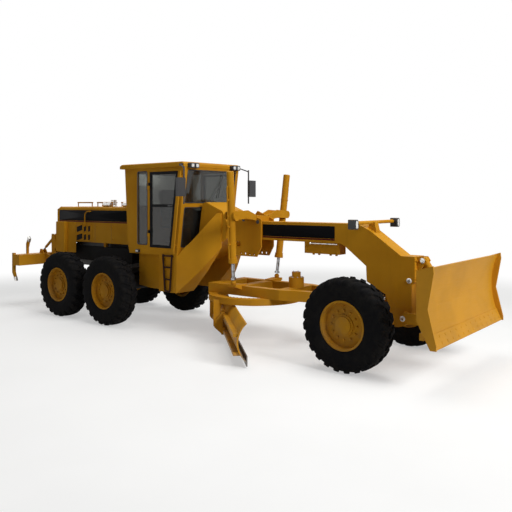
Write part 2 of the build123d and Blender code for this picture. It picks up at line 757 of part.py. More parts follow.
def door_outline(inset):
    """Door outline moved inward from its opening by the inset."""
    low, high = 1531 + inset, 2966 - inset
    return [
        (1600 + inset, low), (1600 + inset, high),
        (2185 + (high - 1531) * door_slope - inset, high), (2185 + (low - 1531) * door_slope - inset, low),
    ]


for side, hand in SIDES.items():
    door_y = hand * (CAB_HALF_WIDTH - DOOR_THICKNESS / 2)
    with BuildPart() as door:
        plate(door_outline(DOOR_GAP), door_y, DOOR_THICKNESS)
        plate(door_outline(DOOR_GAP + DOOR_FRAME), door_y, 2 * DOOR_THICKNESS, Mode.SUBTRACT)
        plate([(1640, DOOR_BAR_LOW), (1640, DOOR_BAR_HIGH), (2250, DOOR_BAR_HIGH), (2245, DOOR_BAR_LOW)],
              door_y, DOOR_THICKNESS)
        for z in DOOR_HINGE_Z:
            foot, head = z + SEAT, z + 60
            bar((DOOR_HINGE_X, hand * DOOR_HINGE_Y, foot), (DOOR_HINGE_X, hand * DOOR_HINGE_Y, head),
                DOOR_KNUCKLE)
            plate([(1600 + SEAT, foot), (1600 + SEAT, head), (1650, head), (1650, foot)],
                  hand * (CAB_HALF_WIDTH + 6), 12)
    save(door.part, f"door_{side}")
    with BuildPart() as door_glass:
        plate(door_outline(DOOR_GAP + DOOR_FRAME + SEAT), door_y, GLASS)
        plate([(1600, DOOR_BAR_LOW - SEAT), (1600, DOOR_BAR_HIGH + SEAT), (2300, DOOR_BAR_HIGH + SEAT),
               (2300, DOOR_BAR_LOW - SEAT)], door_y, DOOR_THICKNESS, Mode.SUBTRACT)
    save(door_glass.part, f"door_glass_{side}")

# Seat, and the console with the steering wheel
with BuildPart() as seat:
    with Locations((1560, 0, 1990)):
        Box(500, 500, 130)
    plate([(1310, 2000), (1260, 2640), (1370, 2640), (1440, 2000)], 0, 480)
    bar((1560, 0, CAB_DECK + SEAT), (1560, 0, 1930), 120)
    fillet(seat.edges().filter_by(Axis.Y), radius=30)
save(seat.part, "seat")

with BuildPart() as console:
    plate([(2090, CAB_DECK + SEAT), (1990, 2200), (2090, 2230), (2230, CAB_DECK + SEAT)], 0, 220)
    bar((2020, 0, 2190), (1960, 0, 2290), 28)
    with Locations(Plane(origin=(1960, 0, 2290), z_dir=(-0.51, 0, 0.86))):
        Torus(190, 16)
        Cylinder(60, 24)
        for spoke in (0, 120, 240):
            with Locations(Location((95 * cos(radians(spoke)), 95 * sin(radians(spoke)), 0),
                                    (0, 0, spoke))):
                Box(190, 26, 14)
save(console.part, "steering_console")

# Side pods under the cab, swept up to the shoulder of the frame
POD_OUTLINE = [
    (1080, 760), (1080, CAB_FLOOR - SEAT), (2345, CAB_FLOOR - SEAT), (2460, 1560), (2560, 1660),
    (2980, 2190),
    (3040, 2190), (3040, 1560), (2700, 1120), (2330, POD_BOTTOM), (1420, POD_BOTTOM),
]
with BuildPart() as side_pods:
    for hand in SIDES.values():
        with BuildSketch(Plane.XY.offset(POD_BOTTOM)) as plan:
            with BuildLine():
                Polyline(
                    (1080, hand * (SHOULDER_HALF_WIDTH + SEAT)), (1080, hand * 560), (1700, hand * 560),
                    (1860, hand * CAB_HALF_WIDTH), (2330, hand * CAB_HALF_WIDTH), (3040, hand * 330),
                    (3040, hand * (SHOULDER_HALF_WIDTH + SEAT)), close=True,
                )
            make_face()
        extrude(plan.sketch, amount=2300 - POD_BOTTOM)
    plate(POD_OUTLINE, 0, 2 * CAB_HALF_WIDTH, Mode.INTERSECT)
save(side_pods.part, "side_pods")

# Ladders outside the pods
with BuildPart() as ladders:
    for hand in SIDES.values():
        y = hand * (CAB_HALF_WIDTH + 32)
        bar((2005, y, 1425), (2060, y, 745), 17)
        bar((2245, y, 1425), (2190, y, 745), 17)
        for share in (0.04, 0.35, 0.68, 1.0):
            inset = 55 * share
            z = 1425 - share * 680
            bar((2005 + inset, y, z), (2245 - inset, y, z), 15)
        for x in (2010, 2240):
            bar((x, hand * (CAB_HALF_WIDTH + SEAT), 1390), (x, y, 1390), 15)
save(ladders.part, "ladders")

# Grab rails beside the front pillars, and the mirrors on their brackets
with BuildPart() as handrails:
    for hand in SIDES.values():
        y = hand * (CAB_HALF_WIDTH + 40)
        bar((2480, y, 2960), (2300, y, 1450), 15)
        for x, z in ((2468, 2860), (2318, 1600)):
            bar((x, hand * (CAB_HALF_WIDTH + SEAT), z), (x, y, z), 14)
save(handrails.part, "handrails")

MIRROR_X = 2680
MIRROR_Y = 900
with BuildPart() as mirrors:
    for hand in SIDES.values():
        with Locations((2500, hand * (ROOF_HALF_WIDTH + SEAT + 8), 3072)):
            Box(80, 16, 40)
        bar((2500, hand * (ROOF_HALF_WIDTH + 14), 3072), (MIRROR_X, hand * MIRROR_Y, 3000), 11)
        bar((MIRROR_X, hand * MIRROR_Y, 3030), (MIRROR_X, hand * MIRROR_Y, 2360), 14)
        with Locations((MIRROR_X + 10, hand * (MIRROR_Y + 90), 2660)):
            Box(50, 200, 330)
save(mirrors.part, "mirrors")

# Work lamps under the front of the roof, small lamps on the cab sides, and the lamp bar on the neck
LAMP_BAR_X = 5950
with BuildPart() as lamps:
    for hand in SIDES.values():
        for y in (520, 640):
            with Locations((ROOF_FRONT + SEAT + 40, hand * y, CAB_ROOF + 20)):
                Box(80, 100, 90)
        with Locations((1290, hand * (CAB_HALF_WIDTH + SEAT + 24), 1450)):
            Box(90, 48, 60)
    cross_bar(LAMP_BAR_X, 2080, 28, -640, 640)
    plate([(LAMP_BAR_X - 70, 1990), (LAMP_BAR_X - 40, 2090), (LAMP_BAR_X + 40, 2090),
           (LAMP_BAR_X + 70, 1960),
           (LAMP_BAR_X + 70, 1990 - 80)], 0, 120)
    plate([(LAMP_BAR_X - 71, BEAM_TOP - 400), (LAMP_BAR_X - 198, BEAM_TOP + SEAT), (5972, 1950 + SEAT),
           (6482, 1591 + SEAT), (6482, 1300)], 0, 200, Mode.SUBTRACT)
    for hand in SIDES.values():
        with Locations((LAMP_BAR_X + 20, hand * 680, 2060)):
            Box(120, 90, 140)
save(lamps.part, "lamps")

# Lift saddle: the cast yoke over the beam with the arms that hold the lift cylinders, and the
# side plates with the row of holes for the centre-shift cylinder's link
SADDLE_X = 3655
CHEEK_GAP = 82
CHEEK_THICKNESS = 28
trunnion_share = (LIFT_TRUNNION_Z - STUD_Z) / (LIFT_TOP_Z - STUD_Z)
trunnion_y = STUD_Y + trunnion_share * (LIFT_TOP_Y - STUD_Y)
with BuildPart() as lift_saddle:
    for hand in SIDES.values():
        wall_y = hand * (BEAM_HALF_WIDTH + SEAT + 15)
        plate(
            [(3150, 1600), (3300, 1430), (3760, 1430), (3860, 1600), (3860, 2090), (3500, 2230),
             (3380, 2090),
             (3150, 1900)],
            wall_y,
            30,
        )
        for x in (3400, 3500, 3600, 3700):
            cross_bar(x, 1475, 22, wall_y - 40, wall_y + 40, Mode.SUBTRACT)
        cross_bar(3340, 1640, 55, wall_y - 40, wall_y + 40, Mode.SUBTRACT)
        for fore in (-1, 1):
            near_x = SADDLE_X + fore * CHEEK_GAP
            with BuildSketch(cross_plane(near_x)) as cheek:
                with BuildLine():
                    Polyline(
                        (hand * 176, 2060), (hand * 176, 2160), (hand * 420, 2250),
                        (hand * trunnion_y, LIFT_TRUNNION_Z + 70),
                        (hand * trunnion_y, LIFT_TRUNNION_Z - 70),
                        (hand * 420, 2110), close=True,
                    )
                make_face()
            extrude(cheek.sketch, amount=fore * CHEEK_THICKNESS)
            far_x = near_x + fore * CHEEK_THICKNESS
            bar((near_x, hand * trunnion_y, LIFT_TRUNNION_Z), (far_x, hand * trunnion_y, LIFT_TRUNNION_Z),
                70)
            bar((near_x, hand * trunnion_y, LIFT_TRUNNION_Z), (far_x, hand * trunnion_y, LIFT_TRUNNION_Z),
                26 + FIT, Mode.SUBTRACT)
        with BuildSketch(cross_plane(SADDLE_X)) as web:
            with BuildLine():
                Polyline((hand * 176, 2070), (hand * 176, 2150), (hand * 560, 2200), (hand * 560, 2120),
                         close=True)
            make_face()
        extrude(web.sketch, amount=CHEEK_GAP + CHEEK_THICKNESS, both=True)
    plate([(3540, BEAM_TOP + SEAT), (3540, 2150), (3770, 2150), (3770, BEAM_TOP + SEAT)], 0, 2 * 200)
save(lift_saddle.part, "lift_saddle")

# Lift cylinders: each barrel swings on its trunnion in the saddle, each rod reaches down to the
# ball stud on the drawbar
ROD_END_GAP = 8
ROD_BOSS_LENGTH = 35
for side, hand in SIDES.items():
    stud = Vector(3600, hand * STUD_Y, STUD_Z)
    top = Vector(3690, hand * LIFT_TOP_Y, LIFT_TOP_Z)
    axis = (top - stud).normalized()
    trunnion = stud + axis * ((LIFT_TRUNNION_Z - STUD_Z) / axis.Z)
    mouth = stud + axis * ((LIFT_BARREL_BOTTOM_Z - STUD_Z) / axis.Z)
    tip = stud + axis * (STUD_RADIUS + ROD_END_GAP)
    with BuildPart() as lift_barrel:
        bar(mouth, top, LIFT_BARREL_RADIUS)
        bar(mouth, mouth + axis * 90, LIFT_BARREL_RADIUS + 12)
        bar(trunnion - axis * 60, trunnion + axis * 60, LIFT_BARREL_RADIUS + 12)
        bar((trunnion.X - CHEEK_GAP - 26, trunnion.Y, trunnion.Z),
            (trunnion.X + CHEEK_GAP + 26, trunnion.Y, trunnion.Z), 26)
        bar(mouth - axis * 5, top - axis * 40, LIFT_ROD_RADIUS + 1, Mode.SUBTRACT)
    save(lift_barrel.part, f"lift_barrel_{side}")
    with BuildPart() as lift_rod:
        bar(tip, top - axis * 820, LIFT_ROD_RADIUS)
        bar(tip, tip + axis * ROD_BOSS_LENGTH, 48)
    save(lift_rod.part, f"lift_rod_{side}")

# Drawbar: the ball at the front, the A-frame, the box over the circle and the two ball studs
with BuildPart() as drawbar_ball:
    with Locations((DRAWBAR_BALL_X, 0, DRAWBAR_BALL_Z)):
        Sphere(DRAWBAR_BALL_RADIUS)
    cross_bar(DRAWBAR_BALL_X, DRAWBAR_BALL_Z, 30, -118, 118)
save(drawbar_ball.part, "drawbar_ball")

ARM_FRONT_X = 6070
ARM_REAR_X = 4480
BOX_REAR_X = 2900
half, wide = DRAWBAR_HALF_WIDTH, DRAWBAR_ARM
with BuildPart() as drawbar:
    height = DRAWBAR_TOP - DRAWBAR_BOTTOM
    slab([(ARM_FRONT_X, 112), (ARM_FRONT_X, -112), (5850, -110), (5850, 110)], DRAWBAR_BOTTOM, height)
    for hand in SIDES.values():
        slab(
            [(5900, hand * 100), (5900, 0), (5820, 0), (ARM_REAR_X, hand * (half - wide)),
             (BOX_REAR_X, hand * (half - wide)), (BOX_REAR_X, hand * half), (ARM_REAR_X, hand * half)],
            DRAWBAR_BOTTOM,
            height,
        )
        # Neck plates that hold the pin through the ball
        plate([(ARM_FRONT_X - 40, DRAWBAR_BALL_Z - 50), (ARM_FRONT_X - 40, DRAWBAR_BALL_Z + 50),
               (DRAWBAR_BALL_X, DRAWBAR_BALL_Z + 50), (DRAWBAR_BALL_X, DRAWBAR_BALL_Z - 50)], hand * 100,
               24)
        cross_bar(DRAWBAR_BALL_X, DRAWBAR_BALL_Z, 50, hand * 88, hand * 112)
        cross_bar(DRAWBAR_BALL_X, DRAWBAR_BALL_Z, 30 + FIT, hand * 80, hand * 125, Mode.SUBTRACT)
        # Stud arm: a raised bracket that leans outward over the circle
        with BuildSketch(cross_plane(3600)) as stud_arm:
            with BuildLine():
                Polyline(
                    (hand * (half - wide), DRAWBAR_TOP - 60), (hand * (half - wide), DRAWBAR_TOP + 20),
                    (hand * (STUD_Y - 60), STUD_Z - 30), (hand * (STUD_Y + 50), STUD_Z - 30),
                    (hand * (STUD_Y + 50), STUD_Z - 70), (hand * (half - 2), DRAWBAR_TOP - 60), close=True,
                )
            make_face()
        extrude(stud_arm.sketch, amount=90, both=True)
        bar((3600, hand * STUD_Y, STUD_Z - 40), (3600, hand * STUD_Y, STUD_Z), 24)
        with Locations((3600, hand * STUD_Y, STUD_Z)):
            Sphere(STUD_RADIUS)
    for x in (ARM_REAR_X, 3600, BOX_REAR_X + 90):
        with BuildSketch(Plane.XY.offset(DRAWBAR_BOTTOM)) as cross_member:
            with Locations((x, 0)):
                Rectangle(180, 2 * (half - wide) + 2)
        extrude(cross_member.sketch, amount=height)
    # Circle drive housing on the front cross member
    bar((ARM_REAR_X, 0, DRAWBAR_TOP), (ARM_REAR_X, 0, DRAWBAR_TOP + 170), 130)
    bar((ARM_REAR_X, 0, DRAWBAR_TOP + 170), (ARM_REAR_X, 0, DRAWBAR_TOP + 260), 75)
save(drawbar.part, "drawbar")

# Everything on the circle is drawn in the blade's own frame, its origin at the circle's centre,
# +X out of the blade's face and +Y to the blade's left, then turned to the working angle
blade_place = Location((CIRCLE_X, 0, 0), (0, 0, BLADE_YAW))
BLADE_ARM_Y = 450
TIP_PIVOT_X = -740
TIP_PIVOT_Z = 320
with BuildPart() as circle:
    with BuildSketch(Plane.XY.offset(CIRCLE_BOTTOM)) as ring:
        Circle(CIRCLE_RADIUS)
        Circle(CIRCLE_BORE, mode=Mode.SUBTRACT)
        with PolarLocations(CIRCLE_BORE - CIRCLE_TEETH_DEPTH / 2 + 4, CIRCLE_TEETH):
            Trapezoid(40, CIRCLE_TEETH_DEPTH + 8, 70, rotation=90)
    extrude(ring.sketch, amount=DRAWBAR_BOTTOM - SEAT - CIRCLE_BOTTOM)
    for hand in SIDES.values():
        plate(
            [(TIP_PIVOT_X - 60, TIP_PIVOT_Z - 40), (TIP_PIVOT_X - 60, CIRCLE_BOTTOM + 60),
             (-600, CIRCLE_BOTTOM + 60), (TIP_PIVOT_X + 60, CIRCLE_BOTTOM - 40),
             (TIP_PIVOT_X + 50, TIP_PIVOT_Z - 40)],
            hand * BLADE_ARM_Y,
            60,
        )
        cross_bar(TIP_PIVOT_X, TIP_PIVOT_Z, 30 + FIT, hand * (BLADE_ARM_Y - 60), hand * (BLADE_ARM_Y + 60),
                  Mode.SUBTRACT)
save(circle.part.moved(blade_place), "circle")

# Blade carrier: the tilting bracket whose shoes hold the moldboard's two slide rails
RAIL_LOW_Z = 200
RAIL_HIGH_Z = 470
SLIDE_RAIL = 50
RAIL_BACK_X = -640
with BuildPart() as blade_carrier:
    for hand in SIDES.values():
        for offset in (-48, 48):
            plate(
                [(TIP_PIVOT_X - 50, TIP_PIVOT_Z - 50), (TIP_PIVOT_X - 50, TIP_PIVOT_Z + 50),
                 (RAIL_BACK_X - 10, RAIL_HIGH_Z + 60), (RAIL_BACK_X - 6, RAIL_HIGH_Z + 60),
                 (RAIL_BACK_X - 6, RAIL_LOW_Z - 60), (RAIL_BACK_X - 10, RAIL_LOW_Z - 60)],
                hand * BLADE_ARM_Y + offset,
                24,
            )
        cross_bar(TIP_PIVOT_X, TIP_PIVOT_Z, 30, hand * BLADE_ARM_Y - 62, hand * BLADE_ARM_Y + 62)
        for z, offset in ((RAIL_LOW_Z, -48), (RAIL_LOW_Z, 48), (RAIL_HIGH_Z, -48), (RAIL_HIGH_Z, 48)):
            plate(
                [(RAIL_BACK_X - 30, z - 60), (RAIL_BACK_X - 30, z + 60), (RAIL_BACK_X + 30, z + 60),
                 (RAIL_BACK_X + 30, z + SLIDE_RAIL / 2 + SEAT),
                 (RAIL_BACK_X - SEAT, z + SLIDE_RAIL / 2 + SEAT),
                 (RAIL_BACK_X - SEAT, z - SLIDE_RAIL / 2 - SEAT),
                 (RAIL_BACK_X + 30, z - SLIDE_RAIL / 2 - SEAT),
                 (RAIL_BACK_X + 30, z - 60)],
                hand * BLADE_ARM_Y + offset,
                24,
            )
    cross_bar(TIP_PIVOT_X - 10, TIP_PIVOT_Z, 24, -BLADE_ARM_Y + 40, BLADE_ARM_Y - 40)
save(blade_carrier.part.moved(blade_place), "blade_carrier")

# Moldboard: a curved plate with its slide rails behind, and the cutting edge with its end bits
blade_left = -BLADE_SHIFT + BLADE_HALF_LENGTH
blade_right = -BLADE_SHIFT - BLADE_HALF_LENGTH
FACE_LOW = Vector(-BLADE_OFFSET, BLADE_BOTTOM + EDGE_HEIGHT / 2)
FACE_HIGH = Vector(-BLADE_OFFSET + 10, BLADE_TOP)
FACE_MID = Vector(-BLADE_OFFSET - 118, (BLADE_BOTTOM + BLADE_TOP) / 2 + 20)
back = Vector(-BLADE_THICKNESS, 0)
with BuildPart() as moldboard:
    with BuildSketch(side_plane(blade_left)) as curve:
        with BuildLine():
            ThreePointArc(FACE_LOW, FACE_MID, FACE_HIGH)
            Line(FACE_HIGH, FACE_HIGH + back)
            ThreePointArc(FACE_HIGH + back, FACE_MID + back, FACE_LOW + back)
            Line(FACE_LOW + back, FACE_LOW)
        make_face()
    extrude(curve.sketch, amount=blade_left - blade_right)
    for z in (RAIL_LOW_Z, RAIL_HIGH_Z):
        plate(
            [(RAIL_BACK_X, z - SLIDE_RAIL / 2), (RAIL_BACK_X, z + SLIDE_RAIL / 2),
             (-BLADE_OFFSET - 70, z + SLIDE_RAIL / 2), (-BLADE_OFFSET - 70, z - SLIDE_RAIL / 2)],
            (blade_left + blade_right) / 2,
            blade_left - blade_right - 60,
        )
    with BuildSketch(side_plane(blade_left)) as face_side:
        with BuildLine():
            ThreePointArc(FACE_LOW, FACE_MID, FACE_HIGH)
            Line(FACE_HIGH, FACE_LOW)
        make_face()
    extrude(face_side.sketch, amount=blade_left - blade_right, mode=Mode.SUBTRACT)
save(moldboard.part.moved(blade_place), "moldboard")

with BuildPart() as cutting_edge:
    edge_x = -BLADE_OFFSET + SEAT
    plate(
        [(edge_x, BLADE_BOTTOM), (edge_x, BLADE_BOTTOM + EDGE_HEIGHT),
         (edge_x + EDGE_THICKNESS, BLADE_BOTTOM + EDGE_HEIGHT),
         (edge_x + EDGE_THICKNESS, BLADE_BOTTOM)],
        (blade_left + blade_right) / 2,
        blade_left - blade_right,
    )
save(cutting_edge.part.moved(blade_place), "cutting_edge")

# Push blade: a curved face with top and bottom edges forward, side plates, ribs and two arms
PUSH_LOW = Vector(PUSH_EDGE_X - 20, PUSH_BOTTOM)
PUSH_HIGH = Vector(PUSH_EDGE_X - 80, PUSH_TOP)
PUSH_MID = Vector(PUSH_FACE_X, (PUSH_BOTTOM + PUSH_TOP) / 2)
push_back = Vector(-PUSH_THICKNESS, 0)
with BuildPart() as push_blade:
    with BuildSketch(side_plane(PUSH_HALF_WIDTH)) as push_curve:
        with BuildLine():
            ThreePointArc(PUSH_LOW, PUSH_MID, PUSH_HIGH)
            Line(PUSH_HIGH, PUSH_HIGH + push_back)
            ThreePointArc(PUSH_HIGH + push_back, PUSH_MID + push_back, PUSH_LOW + push_back)
            Line(PUSH_LOW + push_back, PUSH_LOW)
        make_face()
    extrude(push_curve.sketch, amount=2 * PUSH_HALF_WIDTH)
    for hand in SIDES.values():
        plate(
            [(7240, PUSH_TOP - 40), (PUSH_EDGE_X - 40, PUSH_TOP + 30), (PUSH_EDGE_X - 30, PUSH_TOP - 60),
             (PUSH_FACE_X + 60, 1060), (PUSH_EDGE_X, PUSH_BOTTOM + 60), (PUSH_EDGE_X, PUSH_BOTTOM),
             (7420, PUSH_BOTTOM), (7240, 900)],
            hand * (PUSH_HALF_WIDTH + 12),
            28,
        )
        plate(
            [(7200, 620), (7200, 780), (7330, 1000), (7330, 640)],
            hand * PUSH_ARM_Y,
            60,
        )
        plate(
            [(PUSH_PIVOT_X - 70, PUSH_PIVOT_Z), (PUSH_PIVOT_X, PUSH_PIVOT_Z + 80), (7250, 790), (7250, 640),
             (PUSH_PIVOT_X, PUSH_PIVOT_Z - 80)],
            hand * PUSH_ARM_Y,
            60,
        )
        cross_bar(PUSH_PIVOT_X, PUSH_PIVOT_Z, PUSH_PIN_RADIUS + FIT, hand * (PUSH_ARM_Y - 40),
                  hand * (PUSH_ARM_Y + 40),
                  Mode.SUBTRACT)
        plate(
            [(PUSH_EYE_X - 40, PUSH_EYE_Z + 40), (7330, PUSH_EYE_Z + 120), (7330, PUSH_EYE_Z - 120),
             (PUSH_EYE_X - 40, PUSH_EYE_Z - 40)],
            hand * 62,
            24,
        )
    for z in (700, 1060, 1420):
        with BuildSketch(side_plane(0)) as rib:
            with Locations((7300, z)):
                Rectangle(60, 90)
        extrude(rib.sketch, amount=PUSH_HALF_WIDTH, both=True)
    cross_bar(PUSH_EYE_X, PUSH_EYE_Z, 24, -74, 74)
save(push_blade.part, "push_blade")

# Push blade's lift cylinder, opened at the rod's eye
pull_from = Vector(PUSH_LIFT_X, 0, PUSH_LIFT_Z)
pull_to = Vector(PUSH_EYE_X, 0, PUSH_EYE_Z)
pull = (pull_to - pull_from).normalized()
with BuildPart() as push_barrel:
    bar(pull_from, pull_from + pull * PUSH_BARREL_LENGTH, 50)
    cross_bar(PUSH_LIFT_X, PUSH_LIFT_Z, 50, -50, 50)
    cross_bar(PUSH_LIFT_X, PUSH_LIFT_Z, 28 + FIT, -60, 60, Mode.SUBTRACT)
    bar(pull_from + pull * 52, pull_from + pull * (PUSH_BARREL_LENGTH + 20), 27, Mode.SUBTRACT)
save(push_barrel.part, "push_lift_barrel")
with BuildPart() as push_rod:
    bar(pull_from + pull * 150, pull_to - pull * 34, 26)
save(push_rod.part, "push_lift_rod")

# Ripper mount: the plate behind the frame with its uprights and struts
with BuildPart() as ripper_mount:
    for hand in SIDES.values():
        for offset in (-45, 45):
            plate(
                [(RAIL_REAR - SEAT, 940), (RAIL_REAR - SEAT, COWL_BOTTOM - 5),
                 (COWL_REAR - SEAT, COWL_BOTTOM - 5),
                 (COWL_REAR - SEAT, 1560), (-1990, 1660), (-2070, 1660), (-2080, 1560), (-2060, 940)],
                hand * RIPPER_ARM_Y + offset,
                24,
            )
        cross_bar(RIPPER_PIVOT_X, RIPPER_PIVOT_Z, 30, hand * RIPPER_ARM_Y - 58, hand * RIPPER_ARM_Y + 58)
        cross_bar(-2030, 1600, 26, hand * RIPPER_ARM_Y - 58, hand * RIPPER_ARM_Y + 58)
    plate([(RAIL_REAR - SEAT, 1130), (RAIL_REAR - SEAT, COWL_BOTTOM - 5), (RAIL_REAR - 40, COWL_BOTTOM - 5),
           (RAIL_REAR - 40, 1130)], 0, 2 * RIPPER_ARM_Y)
save(ripper_mount.part, "ripper_mount")

with BuildPart() as ripper_beam:
    beam_rear = RIPPER_BEAM_X - RIPPER_BEAM_DEPTH / 2
    beam_front = RIPPER_BEAM_X + RIPPER_BEAM_DEPTH / 2
    beam_low = RIPPER_BEAM_Z - RIPPER_BEAM_HEIGHT / 2
    beam_high = RIPPER_BEAM_Z + RIPPER_BEAM_HEIGHT / 2
    plate([(beam_rear, beam_low), (beam_rear, beam_high), (beam_front, beam_high), (beam_front, beam_low)],
          0,
          2 * RIPPER_HALF_WIDTH)
    for hand in SIDES.values():
        plate(
            [(RIPPER_PIVOT_X + 50, RIPPER_PIVOT_Z - 20), (RIPPER_PIVOT_X, RIPPER_PIVOT_Z + 60),
             (beam_front - 10, beam_high),
             (beam_front - 10, beam_low), (RIPPER_PIVOT_X, RIPPER_PIVOT_Z - 60)],
            hand * RIPPER_ARM_Y,
            60,
        )
        cross_bar(RIPPER_PIVOT_X, RIPPER_PIVOT_Z, 30 + FIT, hand * RIPPER_ARM_Y - 40,
                  hand * RIPPER_ARM_Y + 40,
                  Mode.SUBTRACT)
        for offset in (-45, 45):
            plate([(beam_rear + 60, beam_high - 10), (-2540, 1290), (-2480, 1290),
                   (beam_front - 60, beam_high - 10)],
                  hand * RIPPER_ARM_Y + offset, 24)
        cross_bar(-2510, 1250, 22, hand * RIPPER_ARM_Y - 57, hand * RIPPER_ARM_Y + 57)
save(ripper_beam.part, "ripper_beam")

# Ripper shanks: curved teeth in the beam's sockets, one of them stowed with its point up
SHANKS = [
    # place across, stowed
    (-1080, False),
    (-750, True),
    (0, False),
    (750, False),
    (1080, False),
]
with BuildPart() as ripper_shanks:
    for y, stowed in SHANKS:
        if stowed:
            plate([(beam_rear - 40, beam_low - 10), (beam_rear - 50, 1420), (-2600, 1590), (-2560, 1540),
                   (beam_rear - SEAT, 1330),
                   (beam_rear - SEAT, beam_low - 10)], y, 50)
        else:
            plate([(beam_rear - SEAT, beam_high + 30), (beam_rear - SEAT, 800), (-2560, 600), (-2590, 590),
                   (beam_rear - 80, 780), (beam_rear - 80, beam_high + 30)], y, 50)
save(ripper_shanks.part, "ripper_shanks")

# Ripper cylinders between the uprights and the beam, opened at the rod's eye
ripper_from = Vector(-2030, 0, 1600)
ripper_to = Vector(-2510, 0, 1250)
ripper_pull = (ripper_to - ripper_from).normalized()
with BuildPart() as ripper_barrels:
    for hand in SIDES.values():
        shift = Vector(0, hand * RIPPER_ARM_Y, 0)
        eye = ripper_from + shift
        bar(eye, eye + ripper_pull * 440, 30)
        cross_bar(eye.X, eye.Z, 42, eye.Y - 30, eye.Y + 30)
        cross_bar(eye.X, eye.Z, 26 + FIT, eye.Y - 40, eye.Y + 40, Mode.SUBTRACT)
        bar(eye + ripper_pull * 52, eye + ripper_pull * 460, 19, Mode.SUBTRACT)
save(ripper_barrels.part, "ripper_barrels")
with BuildPart() as ripper_rods:
    for hand in SIDES.values():
        shift = Vector(0, hand * RIPPER_ARM_Y, 0)
        bar(ripper_from + shift + ripper_pull * 140, ripper_to + shift - ripper_pull * 45, 18)
save(ripper_rods.part, "ripper_rods")
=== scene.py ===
"""Looks of the road grader: paints, rubber, glass, the padded seat, trim, camera and studio.

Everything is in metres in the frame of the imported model: +X forward, +Y to the driver's left,
+Z up, with the origin on the ground under the middle of the tandem axles.
"""

import logging
import math
from collections.abc import Sequence
from dataclasses import dataclass, field
from enum import Enum
from functools import cache

import bpy
import numpy as np
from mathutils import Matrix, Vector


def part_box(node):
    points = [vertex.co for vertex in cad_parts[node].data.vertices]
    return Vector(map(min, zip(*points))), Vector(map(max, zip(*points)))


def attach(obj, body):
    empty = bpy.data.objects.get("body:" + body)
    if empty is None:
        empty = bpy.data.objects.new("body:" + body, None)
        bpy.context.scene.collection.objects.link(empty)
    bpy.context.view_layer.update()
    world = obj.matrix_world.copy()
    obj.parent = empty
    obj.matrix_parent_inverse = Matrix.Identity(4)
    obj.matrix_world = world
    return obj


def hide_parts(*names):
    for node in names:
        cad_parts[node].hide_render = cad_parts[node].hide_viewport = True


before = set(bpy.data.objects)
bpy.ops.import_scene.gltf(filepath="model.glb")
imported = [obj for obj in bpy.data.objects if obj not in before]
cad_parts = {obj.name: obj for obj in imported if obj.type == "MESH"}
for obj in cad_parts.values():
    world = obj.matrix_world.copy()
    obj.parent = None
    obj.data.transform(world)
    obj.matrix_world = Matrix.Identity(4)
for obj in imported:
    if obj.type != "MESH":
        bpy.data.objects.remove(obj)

log = logging.getLogger("grader")

Colour = tuple[float, float, float]
Point = tuple[float, float, float]
Row = tuple[float, ...]
Profile = tuple[tuple[float, float], ...]
Socket = bpy.types.NodeSocket


class Slot(Enum):
    """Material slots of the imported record."""

    YELLOW = "yellow_paint"
    BLACK = "black_paint"
    DARK_METAL = "dark_metal"
    TYRE = "tyre"
    GLASS = "glass"
    CHROME = "rod_chrome"
    STEEL = "bare_steel"
    SEAT = "seat_cover"
    PLASTIC = "dark_plastic"


class Side(Enum):
    """The machine's two sides, each with its sign along Y."""

    LEFT = 1
    RIGHT = -1

    @property
    def tag(self) -> str:
        """The side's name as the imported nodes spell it."""
        return self.name.lower()

    @property
    def out(self) -> Point:
        """The direction away from the machine."""
        return (0.0, float(self.value), 0.0)

    def places(self, *points: Point) -> list[Point]:
        """Points given for the left side, on this side."""
        return [(x, self.value * y, z) for x, y, z in points]


# Node sheets and finishes


class Nodes:
    """A node tree, with short calls for the nodes that the finishes and the sky use."""

    def __init__(self, tree: bpy.types.NodeTree) -> None:
        """Take the tree that the nodes go into."""
        self.tree = tree

    def add(self, kind: str, feeds: dict | None = None, **settings: object) -> bpy.types.Node:
        """Add a node.

        Args:
            kind: Blender's name of the node type, without its prefix.
            feeds: Value or socket for each input, by its name or number.
            **settings: Attributes of the node.

        Returns:
            The new node.
        """
        node = self.tree.nodes.new("ShaderNode" + kind)
        for key, value in settings.items():
            setattr(node, key, value)
        for key, value in (feeds or {}).items():
            self.feed(node.inputs[key], value)
        return node

    def feed(self, socket: Socket, value: object) -> None:
        """Link a socket to another, or set its own value.

        Args:
            socket: The input.
            value: A socket, a colour or what the input takes.
        """
        if isinstance(value, Socket):
            self.tree.links.new(value, socket)
        elif isinstance(value, tuple) and socket.type == "RGBA":
            socket.default_value = (*value[:3], 1.0)
        else:
            socket.default_value = value

    def maths(self, operation: str, a: object, b: object = 0.0) -> Socket:
        """Two values combined by one of Blender's operations."""
        return self.add("Math", {0: a, 1: b}, operation=operation).outputs[0]

    def times(self, a: object, b: object) -> Socket:
        """Two values multiplied."""
        return self.maths("MULTIPLY", a, b)

    def seen(self) -> Socket:
        """1 for rays from the camera and those that gloss or glass passes on, 0 for the others."""
        rays = self.add("LightPath").outputs
        direct = self.maths("MAXIMUM", rays["Is Camera Ray"], rays["Is Glossy Ray"])
        return self.maths("MAXIMUM", direct, rays["Is Transmission Ray"])


